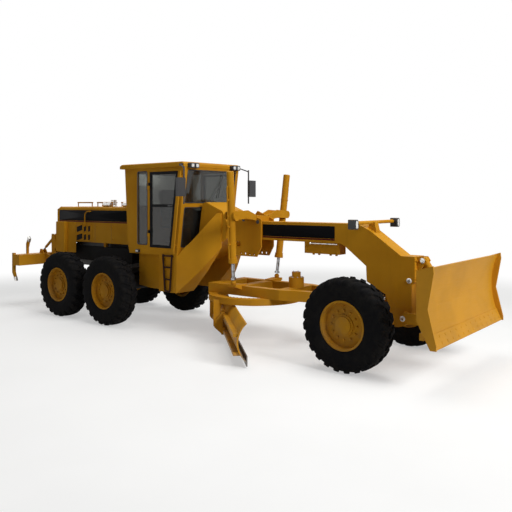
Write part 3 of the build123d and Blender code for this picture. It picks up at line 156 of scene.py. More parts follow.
class Sheet(Nodes):
    """One material's node tree, with patterns on the object coordinates."""

    def __init__(self, name: str) -> None:
        """Start a material of that name with its principled shader."""
        self.material = bpy.data.materials.new(name)
        self.material.use_nodes = True
        super().__init__(self.material.node_tree)
        self.place = self.add("TexCoord").outputs["Object"]

    def finished(self, **values: object) -> bpy.types.Material:
        """Feed the shader's sockets and hand the material out.

        Args:
            **values: Value or socket for each input, named with underscores for blanks.

        Returns:
            The material.
        """
        for key, value in values.items():
            self.feed(self.tree.nodes["Principled BSDF"].inputs[key.replace("_", " ")], value)
        return self.material

    def stretched(self, scale: Point, shift: Point = (0.0, 0.0, 0.0)) -> Socket:
        """Object coordinates moved and then scaled along each axis.

        Args:
            scale: Factor along each axis.
            shift: Metres added before the scaling.

        Returns:
            The coordinates' socket.
        """
        moved = tuple(s * k for s, k in zip(shift, scale))
        feeds = {"Vector": self.place, "Location": moved, "Scale": scale}
        return self.add("Mapping", feeds, vector_type="POINT").outputs["Vector"]

    def distance(self, centre: Point, keep: Point) -> Socket:
        """Distance from a centre along the axes whose factor in keep is 1."""
        flat = self.stretched(keep, tuple(-c for c in centre))
        return self.add("VectorMath", {0: flat}, operation="LENGTH").outputs["Value"]

    def noise(self, scale: float, detail: float = 3.0, rough: float = 0.55,
              at: Socket | None = None) -> Socket:
        """Soft noise.

        Args:
            scale: Blotches a metre.
            detail: Octaves.
            rough: Share kept by each finer octave.
            at: Coordinates, or None for the object's own.

        Returns:
            The noise value's socket.
        """
        feeds = {"Vector": at or self.place, "Scale": scale, "Detail": detail, "Roughness": rough}
        return self.add("TexNoise", feeds).outputs["Fac"]

    def cells(self, scale: float) -> Socket:
        """Distance to the nearest of scattered points."""
        return self.add("TexVoronoi", {"Vector": self.place, "Scale": scale}).outputs["Distance"]

    def step(self, value: Socket, low: float, high: float,
             to_low: float = 0.0, to_high: float = 1.0) -> Socket:
        """Value eased from to_low to to_high between low and high.

        Args:
            value: Socket that is read.
            low: Value at which the change starts.
            high: Value at which it ends.
            to_low: Result at low.
            to_high: Result at high.

        Returns:
            The eased value's socket.
        """
        feeds = {"Value": value, "From Min": low, "From Max": high, "To Min": to_low,
                 "To Max": to_high}
        return self.add("MapRange", feeds, interpolation_type="SMOOTHSTEP").outputs["Result"]

    def height(self, axis: str = "Z") -> Socket:
        """The object coordinate along one axis."""
        return self.add("SeparateXYZ", {0: self.place}).outputs[axis]

    def mix(self, share: object, a: object, b: object) -> Socket:
        """Colour a turned into colour b by the share."""
        return self.add("Mix", {"Factor": share, 6: a, 7: b}, data_type="RGBA").outputs[2]

    def bump(self, height: Socket, depth: float, strength: float = 0.5,
             over: Socket | None = None) -> Socket:
        """Normals tilted by a height pattern.

        Args:
            height: Pattern between 0 and 1.
            depth: Metres that a height of 1 stands for.
            strength: Share of the effect.
            over: Normals of a coarser pattern below.

        Returns:
            The normals' socket.
        """
        feeds = {"Strength": strength, "Distance": depth, "Height": height}
        if over is not None:
            feeds["Normal"] = over
        return self.add("Bump", feeds).outputs["Normal"]

    def road_dust(self, top: float, amount: float) -> Socket:
        """Mask of the dust thrown up from the road, thick low down and gone at the top.

        Args:
            top: Height where the dust ends, in metres.
            amount: Most of the surface that it hides.

        Returns:
            The mask's socket.
        """
        fall = self.step(self.height(), 0.0, top, 1.0, 0.0)
        blotch = self.step(self.noise(2.6, 5.0, 0.62), 0.36, 0.68)
        grain = self.step(self.noise(26.0, 3.0), 0.3, 0.75, 0.6, 1.0)
        return self.times(self.times(fall, blotch), self.times(grain, amount))


class Finish:
    """Base of the finishes: each has a name, a slot of the record and a way to make it."""

    name: str
    slot: Slot

    def make(self) -> bpy.types.Material:
        """Build the material."""
        raise NotImplementedError


@cache
def material_of(finish: Finish) -> bpy.types.Material:
    """The finish's material, made at its first use."""
    return finish.make()


def shaded(colour: Colour, *factors: float) -> Colour:
    """The colour times one factor, or times one for each of its three parts."""
    return tuple(k * c for c, k in zip(colour, factors * (3 // len(factors))))


DUST: Colour = (0.19, 0.135, 0.082)
BARE_STEEL: Colour = (0.17, 0.16, 0.15)
SUN_FADE: Colour = (0.86, 0.80, 0.72)
RUSTED: Colour = (0.22, 0.17, 0.12)
RUBBED: Colour = (0.34, 0.31, 0.28)
RUBBER: tuple[Colour, Colour] = ((0.007, 0.007, 0.008), (0.014, 0.0135, 0.013))
DRY_EARTH: Colour = (0.060, 0.047, 0.034)
CHROME: Colour = (0.42, 0.43, 0.45)
OIL: Colour = (0.20, 0.19, 0.18)
WINDOW_FILM: Colour = (0.30, 0.26, 0.20)
THREAD: Colour = (0.10, 0.10, 0.105)
SCUFF: Colour = (0.10, 0.10, 0.10)
FLOOR_PALE: tuple[Colour, Colour] = ((0.62, 0.62, 0.61), (0.59, 0.59, 0.58))
WHITE: Colour = (1.0, 1.0, 1.0)
NO_COLOUR: Colour = (0.0, 0.0, 0.0)


@dataclass(frozen=True)
class MachinePaint(Finish):
    """Sprayed paint with a fine ripple, sun-faded patches, rain streaks, chips and road dust."""

    name: str
    colour: Colour
    rough: float = 0.5
    dust: float = 0.4
    chips: float = 0.3
    gloss: float = 0.07
    slot: Slot = Slot.YELLOW
    dust_top: float = 1.5
    streaks: float = 0.16

    def make(self) -> bpy.types.Material:
        """Build the paint."""
        sheet = Sheet(self.name)
        patches = sheet.step(sheet.noise(0.9, 4.0), 0.35, 0.7)
        body = sheet.mix(patches, self.colour, shaded(self.colour, *SUN_FADE))
        rain = sheet.noise(1.0, 4.0, 0.6, sheet.stretched((9.0, 9.0, 0.8)))
        rain = sheet.step(rain, 0.52, 0.8, 0.0, self.streaks)
        body = sheet.mix(rain, body, shaded(self.colour, 0.45))
        dust = sheet.road_dust(self.dust_top, self.dust)
        body = sheet.mix(dust, body, DUST)
        worn = sheet.times(sheet.step(sheet.noise(34.0, 6.0, 0.7), 0.655, 0.68),
                           sheet.step(sheet.noise(1.7, 2.0), 0.5, 0.62, 0.0, self.chips))
        body = sheet.mix(worn, body, BARE_STEEL)
        dents = sheet.bump(sheet.noise(3.4, 2.0), 0.004, 0.35)
        ripple = sheet.bump(sheet.noise(190.0, 2.0), 0.0004, 0.35, dents)
        rough = sheet.maths("ADD", sheet.step(patches, 0.0, 1.0, self.rough, self.rough + 0.12),
                            sheet.times(dust, 0.35))
        return sheet.finished(Base_Color=body, Roughness=rough, Normal=ripple,
                              Specular_IOR_Level=self.gloss)


@dataclass(frozen=True)
class ScouredPaint(Finish):
    """Paint of a blade that earth has rubbed: bright steel low down, with scratches along it."""

    name: str
    colour: Colour
    bare_below: float
    fade: float
    slot: Slot = Slot.YELLOW

    def make(self) -> bpy.types.Material:
        """Build the rubbed paint."""
        sheet = Sheet(self.name)
        ragged = sheet.times(sheet.noise(5.0, 5.0, 0.65), 0.28)
        edge = sheet.maths("ADD", sheet.height(), ragged)
        start = self.bare_below + 0.14
        bare = sheet.step(edge, start, start + self.fade, 0.85, 0.0)
        flecks = sheet.step(sheet.noise(46.0, 5.0, 0.7), 0.62, 0.66, 0.0, 0.5)
        bare = sheet.maths("MAXIMUM", bare, sheet.times(flecks, bare))
        scratches = sheet.noise(1.0, 5.0, 0.7, sheet.stretched((3.0, 3.0, 120.0)))
        steel = sheet.mix(sheet.step(scratches, 0.35, 0.7), RUSTED, RUBBED)
        paint = sheet.mix(sheet.step(sheet.noise(1.3, 4.0), 0.35, 0.7), self.colour,
                          shaded(self.colour, 0.84))
        body = sheet.mix(sheet.road_dust(0.9, 0.5), sheet.mix(bare, paint, steel), DUST)
        return sheet.finished(
            Base_Color=body, Roughness=sheet.step(scratches, 0.2, 0.8, 0.44, 0.62),
            Normal=sheet.bump(scratches, 0.0012, 0.3), Metallic=sheet.times(bare, 0.6),
            Specular_IOR_Level=0.2)


@dataclass(frozen=True)
class TyreRubber(Finish):
    """Black rubber round one axle: moulded rings on the sidewall, dry earth in the tread."""

    name: str
    axle_x: float
    axle_z: float
    slot: Slot = Slot.TYRE

    def make(self) -> bpy.types.Material:
        """Build the rubber. The rings are a sine of the distance from the axle."""
        sheet = Sheet(self.name)
        radius = sheet.distance((self.axle_x, 0.0, self.axle_z), (1.0, 0.0, 1.0))
        rings = sheet.maths("SINE", sheet.times(radius, 420.0))
        wall = sheet.times(sheet.step(radius, 0.36, 0.39), sheet.step(radius, 0.50, 0.47))
        ribs = sheet.times(sheet.step(rings, -0.2, 0.8), wall)
        mould = sheet.noise(7.0, 5.0, 0.6)
        rubber = sheet.mix(sheet.step(mould, 0.35, 0.7), *RUBBER)
        tread = sheet.step(radius, 0.56, 0.655, 0.25, 1.0)
        earth = sheet.times(sheet.step(sheet.noise(11.0, 6.0, 0.68), 0.46, 0.72), tread)
        rubber = sheet.mix(sheet.times(earth, 0.22), rubber, DRY_EARTH)
        ribbed = sheet.bump(ribs, 0.002, 0.5)
        return sheet.finished(
            Base_Color=rubber, Roughness=sheet.step(mould, 0.3, 0.7, 0.72, 0.9),
            Normal=sheet.bump(sheet.noise(240.0, 3.0), 0.0006, 0.4, ribbed),
            Specular_IOR_Level=0.03)


@dataclass(frozen=True)
class SootyMetal(Finish):
    """Dark metal, cast or plated, with mottled oxide and a fine grain."""

    name: str
    colour: Colour
    rough: float = 0.55
    metallic: float = 0.4
    grain: float = 90.0
    slot: Slot = Slot.STEEL

    def make(self) -> bpy.types.Material:
        """Build the metal."""
        sheet = Sheet(self.name)
        mottle = sheet.noise(14.0, 5.0, 0.65)
        light = tuple(min(1.0, c * 1.7 + 0.01) for c in self.colour)
        body = sheet.mix(sheet.step(mottle, 0.35, 0.75), self.colour, light)
        rough = sheet.step(mottle, 0.3, 0.75, self.rough - 0.08, self.rough + 0.12)
        return sheet.finished(
            Base_Color=sheet.mix(sheet.road_dust(1.5, 0.35), body, DUST),
            Metallic=self.metallic, Roughness=rough,
            Normal=sheet.bump(sheet.noise(self.grain, 4.0), 0.0012, 0.45))


@dataclass(frozen=True)
class PolishedRod(Finish):
    """Hard chrome of a cylinder rod, with faint rings of oil and lengthwise scratches."""

    name: str = "polished_rod"
    slot: Slot = Slot.CHROME

    def make(self) -> bpy.types.Material:
        """Build the chrome."""
        sheet = Sheet(self.name)
        oil = sheet.noise(9.0, 3.0, 0.5, sheet.stretched((1.0, 1.0, 4.0)))
        scratch = sheet.noise(1.0, 4.0, 0.6, sheet.stretched((160.0, 160.0, 3.0)))
        return sheet.finished(
            Base_Color=sheet.mix(sheet.step(oil, 0.4, 0.7), CHROME, OIL), Metallic=1.0,
            Roughness=sheet.step(scratch, 0.3, 0.7, 0.14, 0.3),
            Normal=sheet.bump(scratch, 0.0002, 0.2))


@dataclass(frozen=True)
class TintedPane(Finish):
    """Cab glass with a grey tint and a film of dust."""

    name: str
    tint: Colour = (0.21, 0.22, 0.21)
    slot: Slot = Slot.GLASS

    def make(self) -> bpy.types.Material:
        """Build the glass."""
        sheet = Sheet(self.name)
        film = sheet.step(sheet.noise(3.2, 5.0, 0.65), 0.42, 0.8, 0.02, 0.16)
        return sheet.finished(
            Base_Color=sheet.mix(film, self.tint, WINDOW_FILM), Roughness=film,
            Transmission_Weight=0.94, IOR=1.45,
            Normal=sheet.bump(sheet.noise(1.4, 1.0), 0.001, 0.1))


@dataclass(frozen=True)
class WovenCover(Finish):
    """Seat cloth: a fine plain weave, worn paler in patches spread at random."""

    name: str = "woven_cover"
    colour: Colour = (0.035, 0.034, 0.036)
    slot: Slot = Slot.SEAT

    def make(self) -> bpy.types.Material:
        """Build the cloth. The weave is two crossed waves."""
        sheet = Sheet(self.name)
        feeds = {"Vector": sheet.place, "Scale": 90.0, "Distortion": 1.5}
        weave = sheet.times(*(sheet.add("TexWave", feeds, bands_direction=axis).outputs["Fac"]
                              for axis in "XY"))
        body = sheet.mix(sheet.step(sheet.noise(6.0, 3.0), 0.4, 0.7), self.colour,
                         shaded(self.colour, 2.1))
        body = sheet.mix(sheet.step(weave, 0.2, 0.9, 0.0, 0.4), body, THREAD)
        return sheet.finished(Base_Color=body, Roughness=0.9, Sheen_Weight=0.35,
                              Normal=sheet.bump(weave, 0.0012, 0.5))


@dataclass(frozen=True)
class MouldedPlastic(Finish):
    """Dark moulded plastic with a pebbled skin and pale scuffs."""

    name: str = "moulded_plastic"
    colour: Colour = (0.022, 0.022, 0.024)
    slot: Slot = Slot.PLASTIC

    def make(self) -> bpy.types.Material:
        """Build the plastic."""
        sheet = Sheet(self.name)
        scuffs = sheet.step(sheet.noise(12.0, 6.0, 0.7), 0.55, 0.75, 0.0, 0.45)
        return sheet.finished(
            Base_Color=sheet.mix(scuffs, self.colour, SCUFF),
            Roughness=sheet.step(scuffs, 0.0, 0.45, 0.48, 0.68),
            Normal=sheet.bump(sheet.cells(420.0), 0.0005, 0.4))


@dataclass(frozen=True)
class LensGlass(Finish):
    """Ribbed lens of a lamp over its bright bowl."""

    name: str
    colour: Colour = (0.82, 0.83, 0.80)
    ribs: float = 260.0
    slot: Slot = Slot.GLASS

    def make(self) -> bpy.types.Material:
        """Build the lens. The ribs are a sine along Y and one along Z."""
        sheet = Sheet(self.name)
        ribs = sheet.maths("ADD", *(sheet.maths("SINE", sheet.times(sheet.height(axis), self.ribs))
                                    for axis in "YZ"))
        body = sheet.mix(sheet.step(sheet.noise(40.0, 3.0), 0.4, 0.7), self.colour,
                         shaded(self.colour, 0.82))
        return sheet.finished(Base_Color=body, Roughness=0.16, Coat_Weight=0.6,
                              Coat_Roughness=0.05, Normal=sheet.bump(ribs, 0.0012, 0.5))


@dataclass(frozen=True)
class StudioFloor(Finish):
    """Pale matt floor that holds the machine's shadow and turns to pure white further out."""

    name: str = "studio_floor"
    centre: Point = (2.4, 0.0, 0.0)
    near: float = 5.0
    far: float = 15.0
    lift: float = 0.42

    def make(self) -> bpy.types.Material:
        """Build the floor. Only camera, glossy and transmission rays see its own light."""
        sheet = Sheet(self.name)
        away = sheet.step(sheet.distance(self.centre, (1.0, 1.0, 0.0)), self.near, self.far)
        pale = sheet.mix(sheet.step(sheet.noise(0.5, 3.0), 0.3, 0.7), *FLOOR_PALE)
        glow = sheet.times(sheet.seen(), sheet.step(away, 0.0, 1.0, self.lift, 1.0))
        return sheet.finished(
            Base_Color=sheet.mix(away, pale, NO_COLOUR), Roughness=0.9, Specular_IOR_Level=0.0,
            Emission_Color=WHITE, Emission_Strength=glow,
            Normal=sheet.bump(sheet.noise(60.0, 2.0), 0.0005, 0.15))


YELLOW: Colour = (0.60, 0.280, 0.013)
PAINT = MachinePaint("machine_yellow", YELLOW)
PAINT_HIGH = MachinePaint("machine_yellow_high", YELLOW, dust=0.25, chips=0.2)
RIM_PAINT = MachinePaint("rim_yellow", shaded(YELLOW, 0.86), 0.48, 0.75)
BLADE_PAINT = ScouredPaint("blade_yellow", YELLOW, 0.12, 0.14)
PUSH_PAINT = ScouredPaint("push_blade_yellow", YELLOW, 0.36, 0.12)
BLACK_PAINT = MachinePaint("gloss_black", (0.006, 0.006, 0.007), 0.34, 0.12, 0.1, 0.05)
# near-black rear frame and axle, matching the dark band below the hood
FRAME_BLACK = MachinePaint("frame_black", (0.010, 0.010, 0.010), 0.55, 0.35, 0.3, 0.04)
LADDER_PAINT = MachinePaint("ladder_brown", (0.030, 0.012, 0.009), chips=0.6)
# black of the stripes, also laid on the louvre slots as painted shade of their mouths
STRIPE_AND_SHADE_BLACK = MachinePaint("stripe_and_painted_shade_black", (0.004, 0.004, 0.005), 0.4, 0.1, 0.1, 0.03, Slot.BLACK)
STRIPE_RED = MachinePaint("stripe_red", (0.085, 0.006, 0.005), 0.4, 0.12, 0.1, slot=Slot.BLACK)
DARK_METAL = SootyMetal("sooty_metal", (0.035, 0.034, 0.034), slot=Slot.DARK_METAL)
CAST_METAL = SootyMetal("cast_engine", (0.060, 0.058, 0.056), 0.62, 0.3, 60.0)
WORN_STEEL = SootyMetal("worn_steel", (0.15, 0.14, 0.13), 0.42, 0.85, 70.0)
PIN_STEEL = SootyMetal("pin_steel", (0.38, 0.37, 0.35), 0.34, 0.9, 110.0)
BRIGHT_TRIM = SootyMetal("bright_trim", (0.62, 0.62, 0.60), 0.3, 0.75, 120.0)
ROD = PolishedRod()
MIRROR_FACE = PolishedRod("mirror_face")
PANE = TintedPane("cab_pane")
COVER = WovenCover()
PLASTIC = MouldedPlastic()
SEAL_RUBBER = MouldedPlastic("seal_rubber", (0.008, 0.008, 0.008))
LAMP_SHELL = MouldedPlastic("lamp_shell", (0.006, 0.006, 0.007))
WHITE_LENS = LensGlass("white_lens")
RED_LENS = LensGlass("red_lens", (0.30, 0.012, 0.010))
FLOOR = StudioFloor()


# Surfaces

SHARP_ANGLE = 38.0
LENS_BULGE = 0.008
BEZEL_RISE = 0.003
BEZEL_RADIUS = 0.004
UP: Point = (0.0, 0.0, 1.0)
DOWN: Point = (0.0, 0.0, -1.0)
AHEAD: Point = (1.0, 0.0, 0.0)
BACK: Point = (-1.0, 0.0, 0.0)


@dataclass
class Shape:
    """Corners and quads of a closed surface. A triangle has its last corner twice."""

    points: np.ndarray
    quads: np.ndarray

    def at(self, *place: float) -> "Shape":
        """The shape moved to a place."""
        return Shape(self.points + np.array(place), self.quads)

    def copies(self, turns: np.ndarray, places: Sequence) -> "Shape":
        """The shape turned and then moved, once for each turn or each place.

        Args:
            turns: Array of (k, 3, 3) or (1, 3, 3). Its columns are local X, Y and Z.
            places: Array of (k, 3) or (1, 3).

        Returns:
            All the copies as one shape.
        """
        placed = np.einsum("kij,nj->kni", turns, self.points) + np.array(places)[:, None]
        steps = np.arange(len(placed))[:, None, None] * len(self.points)
        return Shape(placed.reshape(-1, 3), (self.quads + steps).reshape(-1, 4))


def together(*shapes: Shape) -> Shape:
    """Several shapes as one, each shape's corners numbered on from those before it."""
    starts = np.cumsum([0] + [len(s.points) for s in shapes[:-1]])
    return Shape(np.concatenate([s.points for s in shapes]),
                 np.concatenate([s.quads + start for s, start in zip(shapes, starts)]))


def loft(rings: np.ndarray, closed: bool = False) -> Shape:
    """Closed skin over a stack of rings.

    Quad (i, j) joins points j and j+1 of ring i to those of ring i+1. The ends are closed by a
    fan to each end ring's middle, unless the last ring joins the first. The volume's sign, a sum
    of triple products over the faces, tells whether they must be turned to point outward.

    Args:
        rings: Array of shape (rings, points, 3).
        closed: True if the last ring joins the first one.

    Returns:
        The closed surface.
    """
    count, around = rings.shape[:2]
    index = np.arange(count * around).reshape(count, around)
    beside = np.roll(index, -1, 1)
    quads = np.stack([index, beside, np.roll(beside, -1, 0), np.roll(index, -1, 0)], -1)
    quads = quads[:count if closed else -1].reshape(-1, 4)
    points = rings.reshape(-1, 3)
    if not closed:
        first, last = np.full((2, around), [[len(points)], [len(points) + 1]])
        quads = np.concatenate([quads, np.stack([beside[0], index[0], first, first], -1),
                                np.stack([index[-1], beside[-1], last, last], -1)])
        points = np.concatenate([points, rings[[0, -1]].mean(axis=1)])
    a, b, c, d = np.moveaxis(points[quads], 1, 0)
    volume = (a * (np.cross(b, c) + np.cross(c, d))).sum()
    return Shape(points, quads if volume > 0 else quads[:, [1, 0, 3, 2]])


def circle_points(count: int) -> np.ndarray:
    """Unit circle (cos t, sin t) as an array of (count, 2)."""
    t = np.linspace(0.0, 2.0 * np.pi, count, endpoint=False)
    return np.stack([np.cos(t), np.sin(t)], -1)


def turned(profile: Sequence, segments: int) -> np.ndarray:
    """Profile turned round local Z: at each angle t the points are (r cos t, r sin t, h).

    Args:
        profile: Rows of (radius, height).
        segments: Number of angles.

    Returns:
        Array of (segments, n, 3).
    """
    radius, height = np.array(profile, float).T
    flat = circle_points(segments)[:, None] * radius[:, None]
    return np.concatenate([flat, np.broadcast_to(height[:, None], (*flat.shape[:2], 1))], -1)


def lathe(profile: Sequence, segments: int) -> Shape:
    """Profile of (radius, height) turned round local Z, closed at both ends."""
    return loft(turned(profile, segments).swapaxes(0, 1))


def hoop(section: Sequence, segments: int) -> Shape:
    """Closed section of (radius, height) turned all the way round local Z."""
    return loft(turned(section, segments), True)


def ball(radius: float, rows: int, segments: int) -> Shape:
    """Ball that stands on local Z 0: (r sin t, r - r cos t) turned round Z, with closed poles."""
    t, pole = np.linspace(0.0, np.pi, rows), 0.0005
    return lathe(np.stack([radius * np.sin(t) + pole, radius - radius * np.cos(t)], -1), segments)


def rounded_outline(width: float, height: float, corner: float, steps: int = 6) -> np.ndarray:
    """Rectangle outline whose corners are quarter circles, centred on the origin.

    Each corner's points are its centre plus the corner radius times (cos t, sin t) over a
    quarter turn.

    Args:
        width: Whole width.
        height: Whole height.
        corner: Radius of the corners.
        steps: Points on each corner.

    Returns:
        Array of (4 * steps, 2).
    """
    t = np.linspace(0.0, np.pi / 2, steps)[None] + np.arange(4)[:, None] * np.pi / 2
    signs = np.array([[1, 1], [-1, 1], [-1, -1], [1, -1]])
    centres = signs * (np.array([width, height]) / 2 - corner)
    return (centres[:, None] + corner * np.stack([np.cos(t), np.sin(t)], -1)).reshape(-1, 2)


def panel_outline(limits: Row, corner: float, steps: int = 6) -> np.ndarray:
    """Rounded rectangle between limits.

    Args:
        limits: Lowest and highest place across, lowest and highest place up.
        corner: Radius of the corners.
        steps: Points on each corner.

    Returns:
        Array of (4 * steps, 2).
    """
    x_from, x_to, low, high = limits
    middle = np.array([0.5 * (x_from + x_to), 0.5 * (low + high)])
    return rounded_outline(x_to - x_from, high - low, corner, steps) + middle


def pressed_plate(outline: np.ndarray, thickness: float, edge: float) -> Shape:
    """Plate of an outline in the local XY plane with rolled edges.

    The rings are the outline drawn in by the edge, the full outline at the two heights between
    which the wall stands, and the drawn-in outline again.

    Args:
        outline: Array of (n, 2) round the origin.
        thickness: Whole thickness, from 0 upward.
        edge: Width of the rolled edge.

    Returns:
        The closed plate.
    """
    inset = outline * (1.0 - edge / np.abs(outline).max(axis=0))
    rows = ((inset, 0.0), (outline, edge), (outline, thickness - edge), (inset, thickness))
    return loft(np.stack([np.insert(ring, 2, z, 1) for ring, z in rows]))


def rounded_plate(width: float, height: float, corner: float, thickness: float,
                  edge: float) -> Shape:
    """A pressed_plate of a rounded_outline."""
    return pressed_plate(rounded_outline(width, height, corner), thickness, edge)


def tube(path: Sequence, radius: float, sides: int = 10, closed: bool = False) -> Shape:
    """Round tube along a path that lies near one plane.

    Each ring is the path's point plus radius times (cos t N + sin t B), where N is the plane's
    normal and B the path's direction crossed with it.

    Args:
        path: Array of (n, 3).
        radius: Radius of the tube.
        sides: Points round the tube.
        closed: True if the path runs back into its start.

    Returns:
        The closed tube.
    """
    path = np.array(path, float)
    along = np.roll(path, -1, 0) - np.roll(path, 1, 0) if closed else np.gradient(path, axis=0)
    along = along / np.linalg.norm(along, axis=1, keepdims=True)
    plane = np.linalg.svd(path - path.mean(axis=0), full_matrices=True)[2][2]
    side = np.cross(along, plane)
    side /= np.linalg.norm(side, axis=1, keepdims=True)
    over = np.cross(side, along)
    cos, sin = circle_points(sides).T[:, None, :, None]
    return loft(path[:, None] + radius * (cos * over[:, None] + sin * side[:, None]), closed)


def hex_bolt(radius: float, height: float) -> Shape:
    """Bolt head on a washer, along local Z: a six-sided lathe whose top edge is chamfered.

    Args:
        radius: From the axis to a corner of the head.
        height: From the foot to the top.

    Returns:
        The bolt on local Z 0.
    """
    head = ((radius, 0.12 * height), (radius, 0.8 * height), (0.82 * radius, height))
    rim = 1.35 * radius
    washer = ((rim, 0.0), (rim, 0.10 * height), (1.22 * radius, 0.16 * height))
    return together(lathe(washer, 18), lathe(head, 6))


def spread(shape: Shape, direction: Sequence, places: Sequence) -> Shape:
    """The shape, built along local Z, repeated at each place and facing the direction.

    Local X is the cross product of the upright, or of +X for a steep direction, with the
    direction, and local Y is the direction crossed with local X.

    Args:
        shape: What is repeated.
        direction: Where local Z points.
        places: Points of (k, 3).

    Returns:
        All the copies as one shape.
    """
    z = np.array(direction, float) / np.linalg.norm(direction)
    x = np.cross(AHEAD if abs(z[2]) > 0.9 else UP, z)
    x /= np.linalg.norm(x)
    return shape.copies(np.stack([x, np.cross(z, x), z], -1)[None], places)


def turns_about_z(angles: np.ndarray) -> np.ndarray:
    """Turns about Z as (k, 3, 3), with rows (cos, -sin, 0), (sin, cos, 0) and (0, 0, 1)."""
    c, s, o = np.cos(angles), np.sin(angles), np.zeros_like(angles)
    return np.stack([c, -s, o, s, c, o, o, o, o + 1.0], -1).reshape(-1, 3, 3)


def mirrored(*points: Point) -> list[Point]:
    """Points given for the left side, there and on the right side."""
    return [point for side in Side for point in side.places(*points)]


def on_both_sides(shape: Shape, *points: Point) -> list[Shape]:
    """The shape facing outward on each side, at points given for the left side."""
    return [spread(shape, side.out, side.places(*points)) for side in Side]


def wall_plate(outline: np.ndarray, y: float, thickness: float, edge: float, side: Side) -> Shape:
    """Plate that stands on a side wall.

    Args:
        outline: Array of (n, 2) in machine X and Z.
        y: The wall's distance from the middle.
        thickness: How far it stands out.
        edge: Width of its rolled edge.
        side: The side it is on.

    Returns:
        The closed plate.
    """
    middle = 0.5 * (outline.max(axis=0) + outline.min(axis=0))
    local = (outline - middle) * np.array([-side.value, 1.0])
    place = (middle[0], side.value * y, middle[1])
    return spread(pressed_plate(local, thickness, edge), side.out, [place])


def wall_plates(outline: np.ndarray, y: float, thickness: float, edge: float) -> list[Shape]:
    """A wall_plate on each side."""
    return [wall_plate(outline, y, thickness, edge, side) for side in Side]


def arc_points(low: Row, middle: Row, high: Row, count: int) -> np.ndarray:
    """Points of the parabola through three points, at equal steps of its parameter.

    With t from 0 to 1 the point is low (1-t)(1-2t) + 4 middle t (1-t) + high t (2t-1).

    Args:
        low: Start.
        middle: Point at t = 0.5.
        high: End.
        count: Number of points.

    Returns:
        Array of (count, len(low)).
    """
    t = np.linspace(0.0, 1.0, count)[:, None]
    shares = ((1 - t) * (1 - 2 * t), 4 * t * (1 - t), t * (2 * t - 1))
    return sum(share * np.array(point) for share, point in zip(shares, (low, middle, high)))


def lamp_fronts(kinds: Sequence) -> tuple[Shape, Shape]:
    """Domed lenses and their bezels.

    A lens's rings are its outline times cos(a) at the height bulge times sin(a), and the bezel
    is a tube round the outline.

    Args:
        kinds: Size, direction and places of each kind of lamp.

    Returns:
        All the lenses, and all the bezels.
    """
    lenses, bezels = [], []
    for size, direction, places in kinds:
        outline = rounded_outline(*size, 0.3 * min(size))
        rings = [np.insert(outline * math.cos(a), 2, LENS_BULGE * math.sin(a), 1)
                 for a in np.linspace(0.0, 0.46 * np.pi, 8)]
        rim = np.insert(outline * 1.03, 2, BEZEL_RISE, 1)
        lenses.append(spread(loft(np.stack(rings)), direction, places))
        bezels.append(spread(tube(rim, BEZEL_RADIUS, 8, True), direction, places))
    return together(*lenses), together(*bezels)


def mesh_object(name: str, shape: Shape, finish: Finish) -> bpy.types.Object:
    """Turn a shape into a smooth object at the origin, whose edges above SHARP_ANGLE stay sharp.

    Args:
        name: Name of the object and its mesh.
        shape: Its surface.
        finish: Its finish.

    Returns:
        The object, linked to the scene.
    """
    mesh = bpy.data.meshes.new(name)
    fans = shape.quads[:, 2] == shape.quads[:, 3]
    faces = [*shape.quads[~fans].tolist(), *shape.quads[fans, :3].tolist()]
    mesh.from_pydata(shape.points.tolist(), [], faces)
    mesh.polygons.foreach_set("use_smooth", np.ones(len(mesh.polygons), bool))
    mesh.set_sharp_from_angle(angle=math.radians(SHARP_ANGLE))
    mesh.materials.append(material_of(finish))
    made = bpy.data.objects.new(name, mesh)
    bpy.context.scene.collection.objects.link(made)
    return made


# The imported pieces' finishes

WHEELS = [(f"{axle}_{side.tag}", side) for axle in ("front", "mid", "rear") for side in Side]


def middle_of(node: str) -> np.ndarray:
    """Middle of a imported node's box."""
    low, high = (np.array(v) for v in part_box(node))
    return 0.5 * (low + high)


def rubber_of(wheel: str) -> TyreRubber:
    """The rubber of one wheel's tyre, centred on its own axle."""
    x, _, z = middle_of(f"tyre_{wheel}")
    return TyreRubber(f"rubber_{wheel}", x, z)


@dataclass
class CarriedPieces:
    """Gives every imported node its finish. Nodes that no row names have the plain yellow."""

    finishes: tuple[tuple[Finish, str], ...] = (
        (PAINT_HIGH, "cab_roof cab_shell engine_hood hood_rails radiator_cowl"),
        (CAST_METAL, "engine_block"),
        (BRIGHT_TRIM, "exhaust_and_intake"),
        (FRAME_BLACK, "rear_frame rear_axle"),
        (PIN_STEEL, "drawbar_ball"),
        (PANE, "cab_glass door_glass_left door_glass_right"),
        (BLACK_PAINT, "door_left door_right"),
        (PLASTIC, "steering_console mirrors"),
        (LADDER_PAINT, "ladders"),
        (BLADE_PAINT, "moldboard"),
        (PUSH_PAINT, "push_blade"),
        (WORN_STEEL, "cutting_edge"),
        (ROD, "lift_rod_left lift_rod_right push_lift_rod ripper_rods"),
    )

    def dress(self) -> None:
        """Assign the finishes, a wheel's by its name."""
        chosen = {name: finish for finish, names in self.finishes for name in names.split()}
        chosen |= {f"tyre_{wheel}": rubber_of(wheel) for wheel, _ in WHEELS}
        chosen |= {f"rim_{wheel}": RIM_PAINT for wheel, _ in WHEELS}
        for name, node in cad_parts.items():
            for place in node.material_slots:
                place.material = material_of(chosen.get(name, PAINT))
        log.info("finishes on %d packed nodes", len(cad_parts))


# New pieces


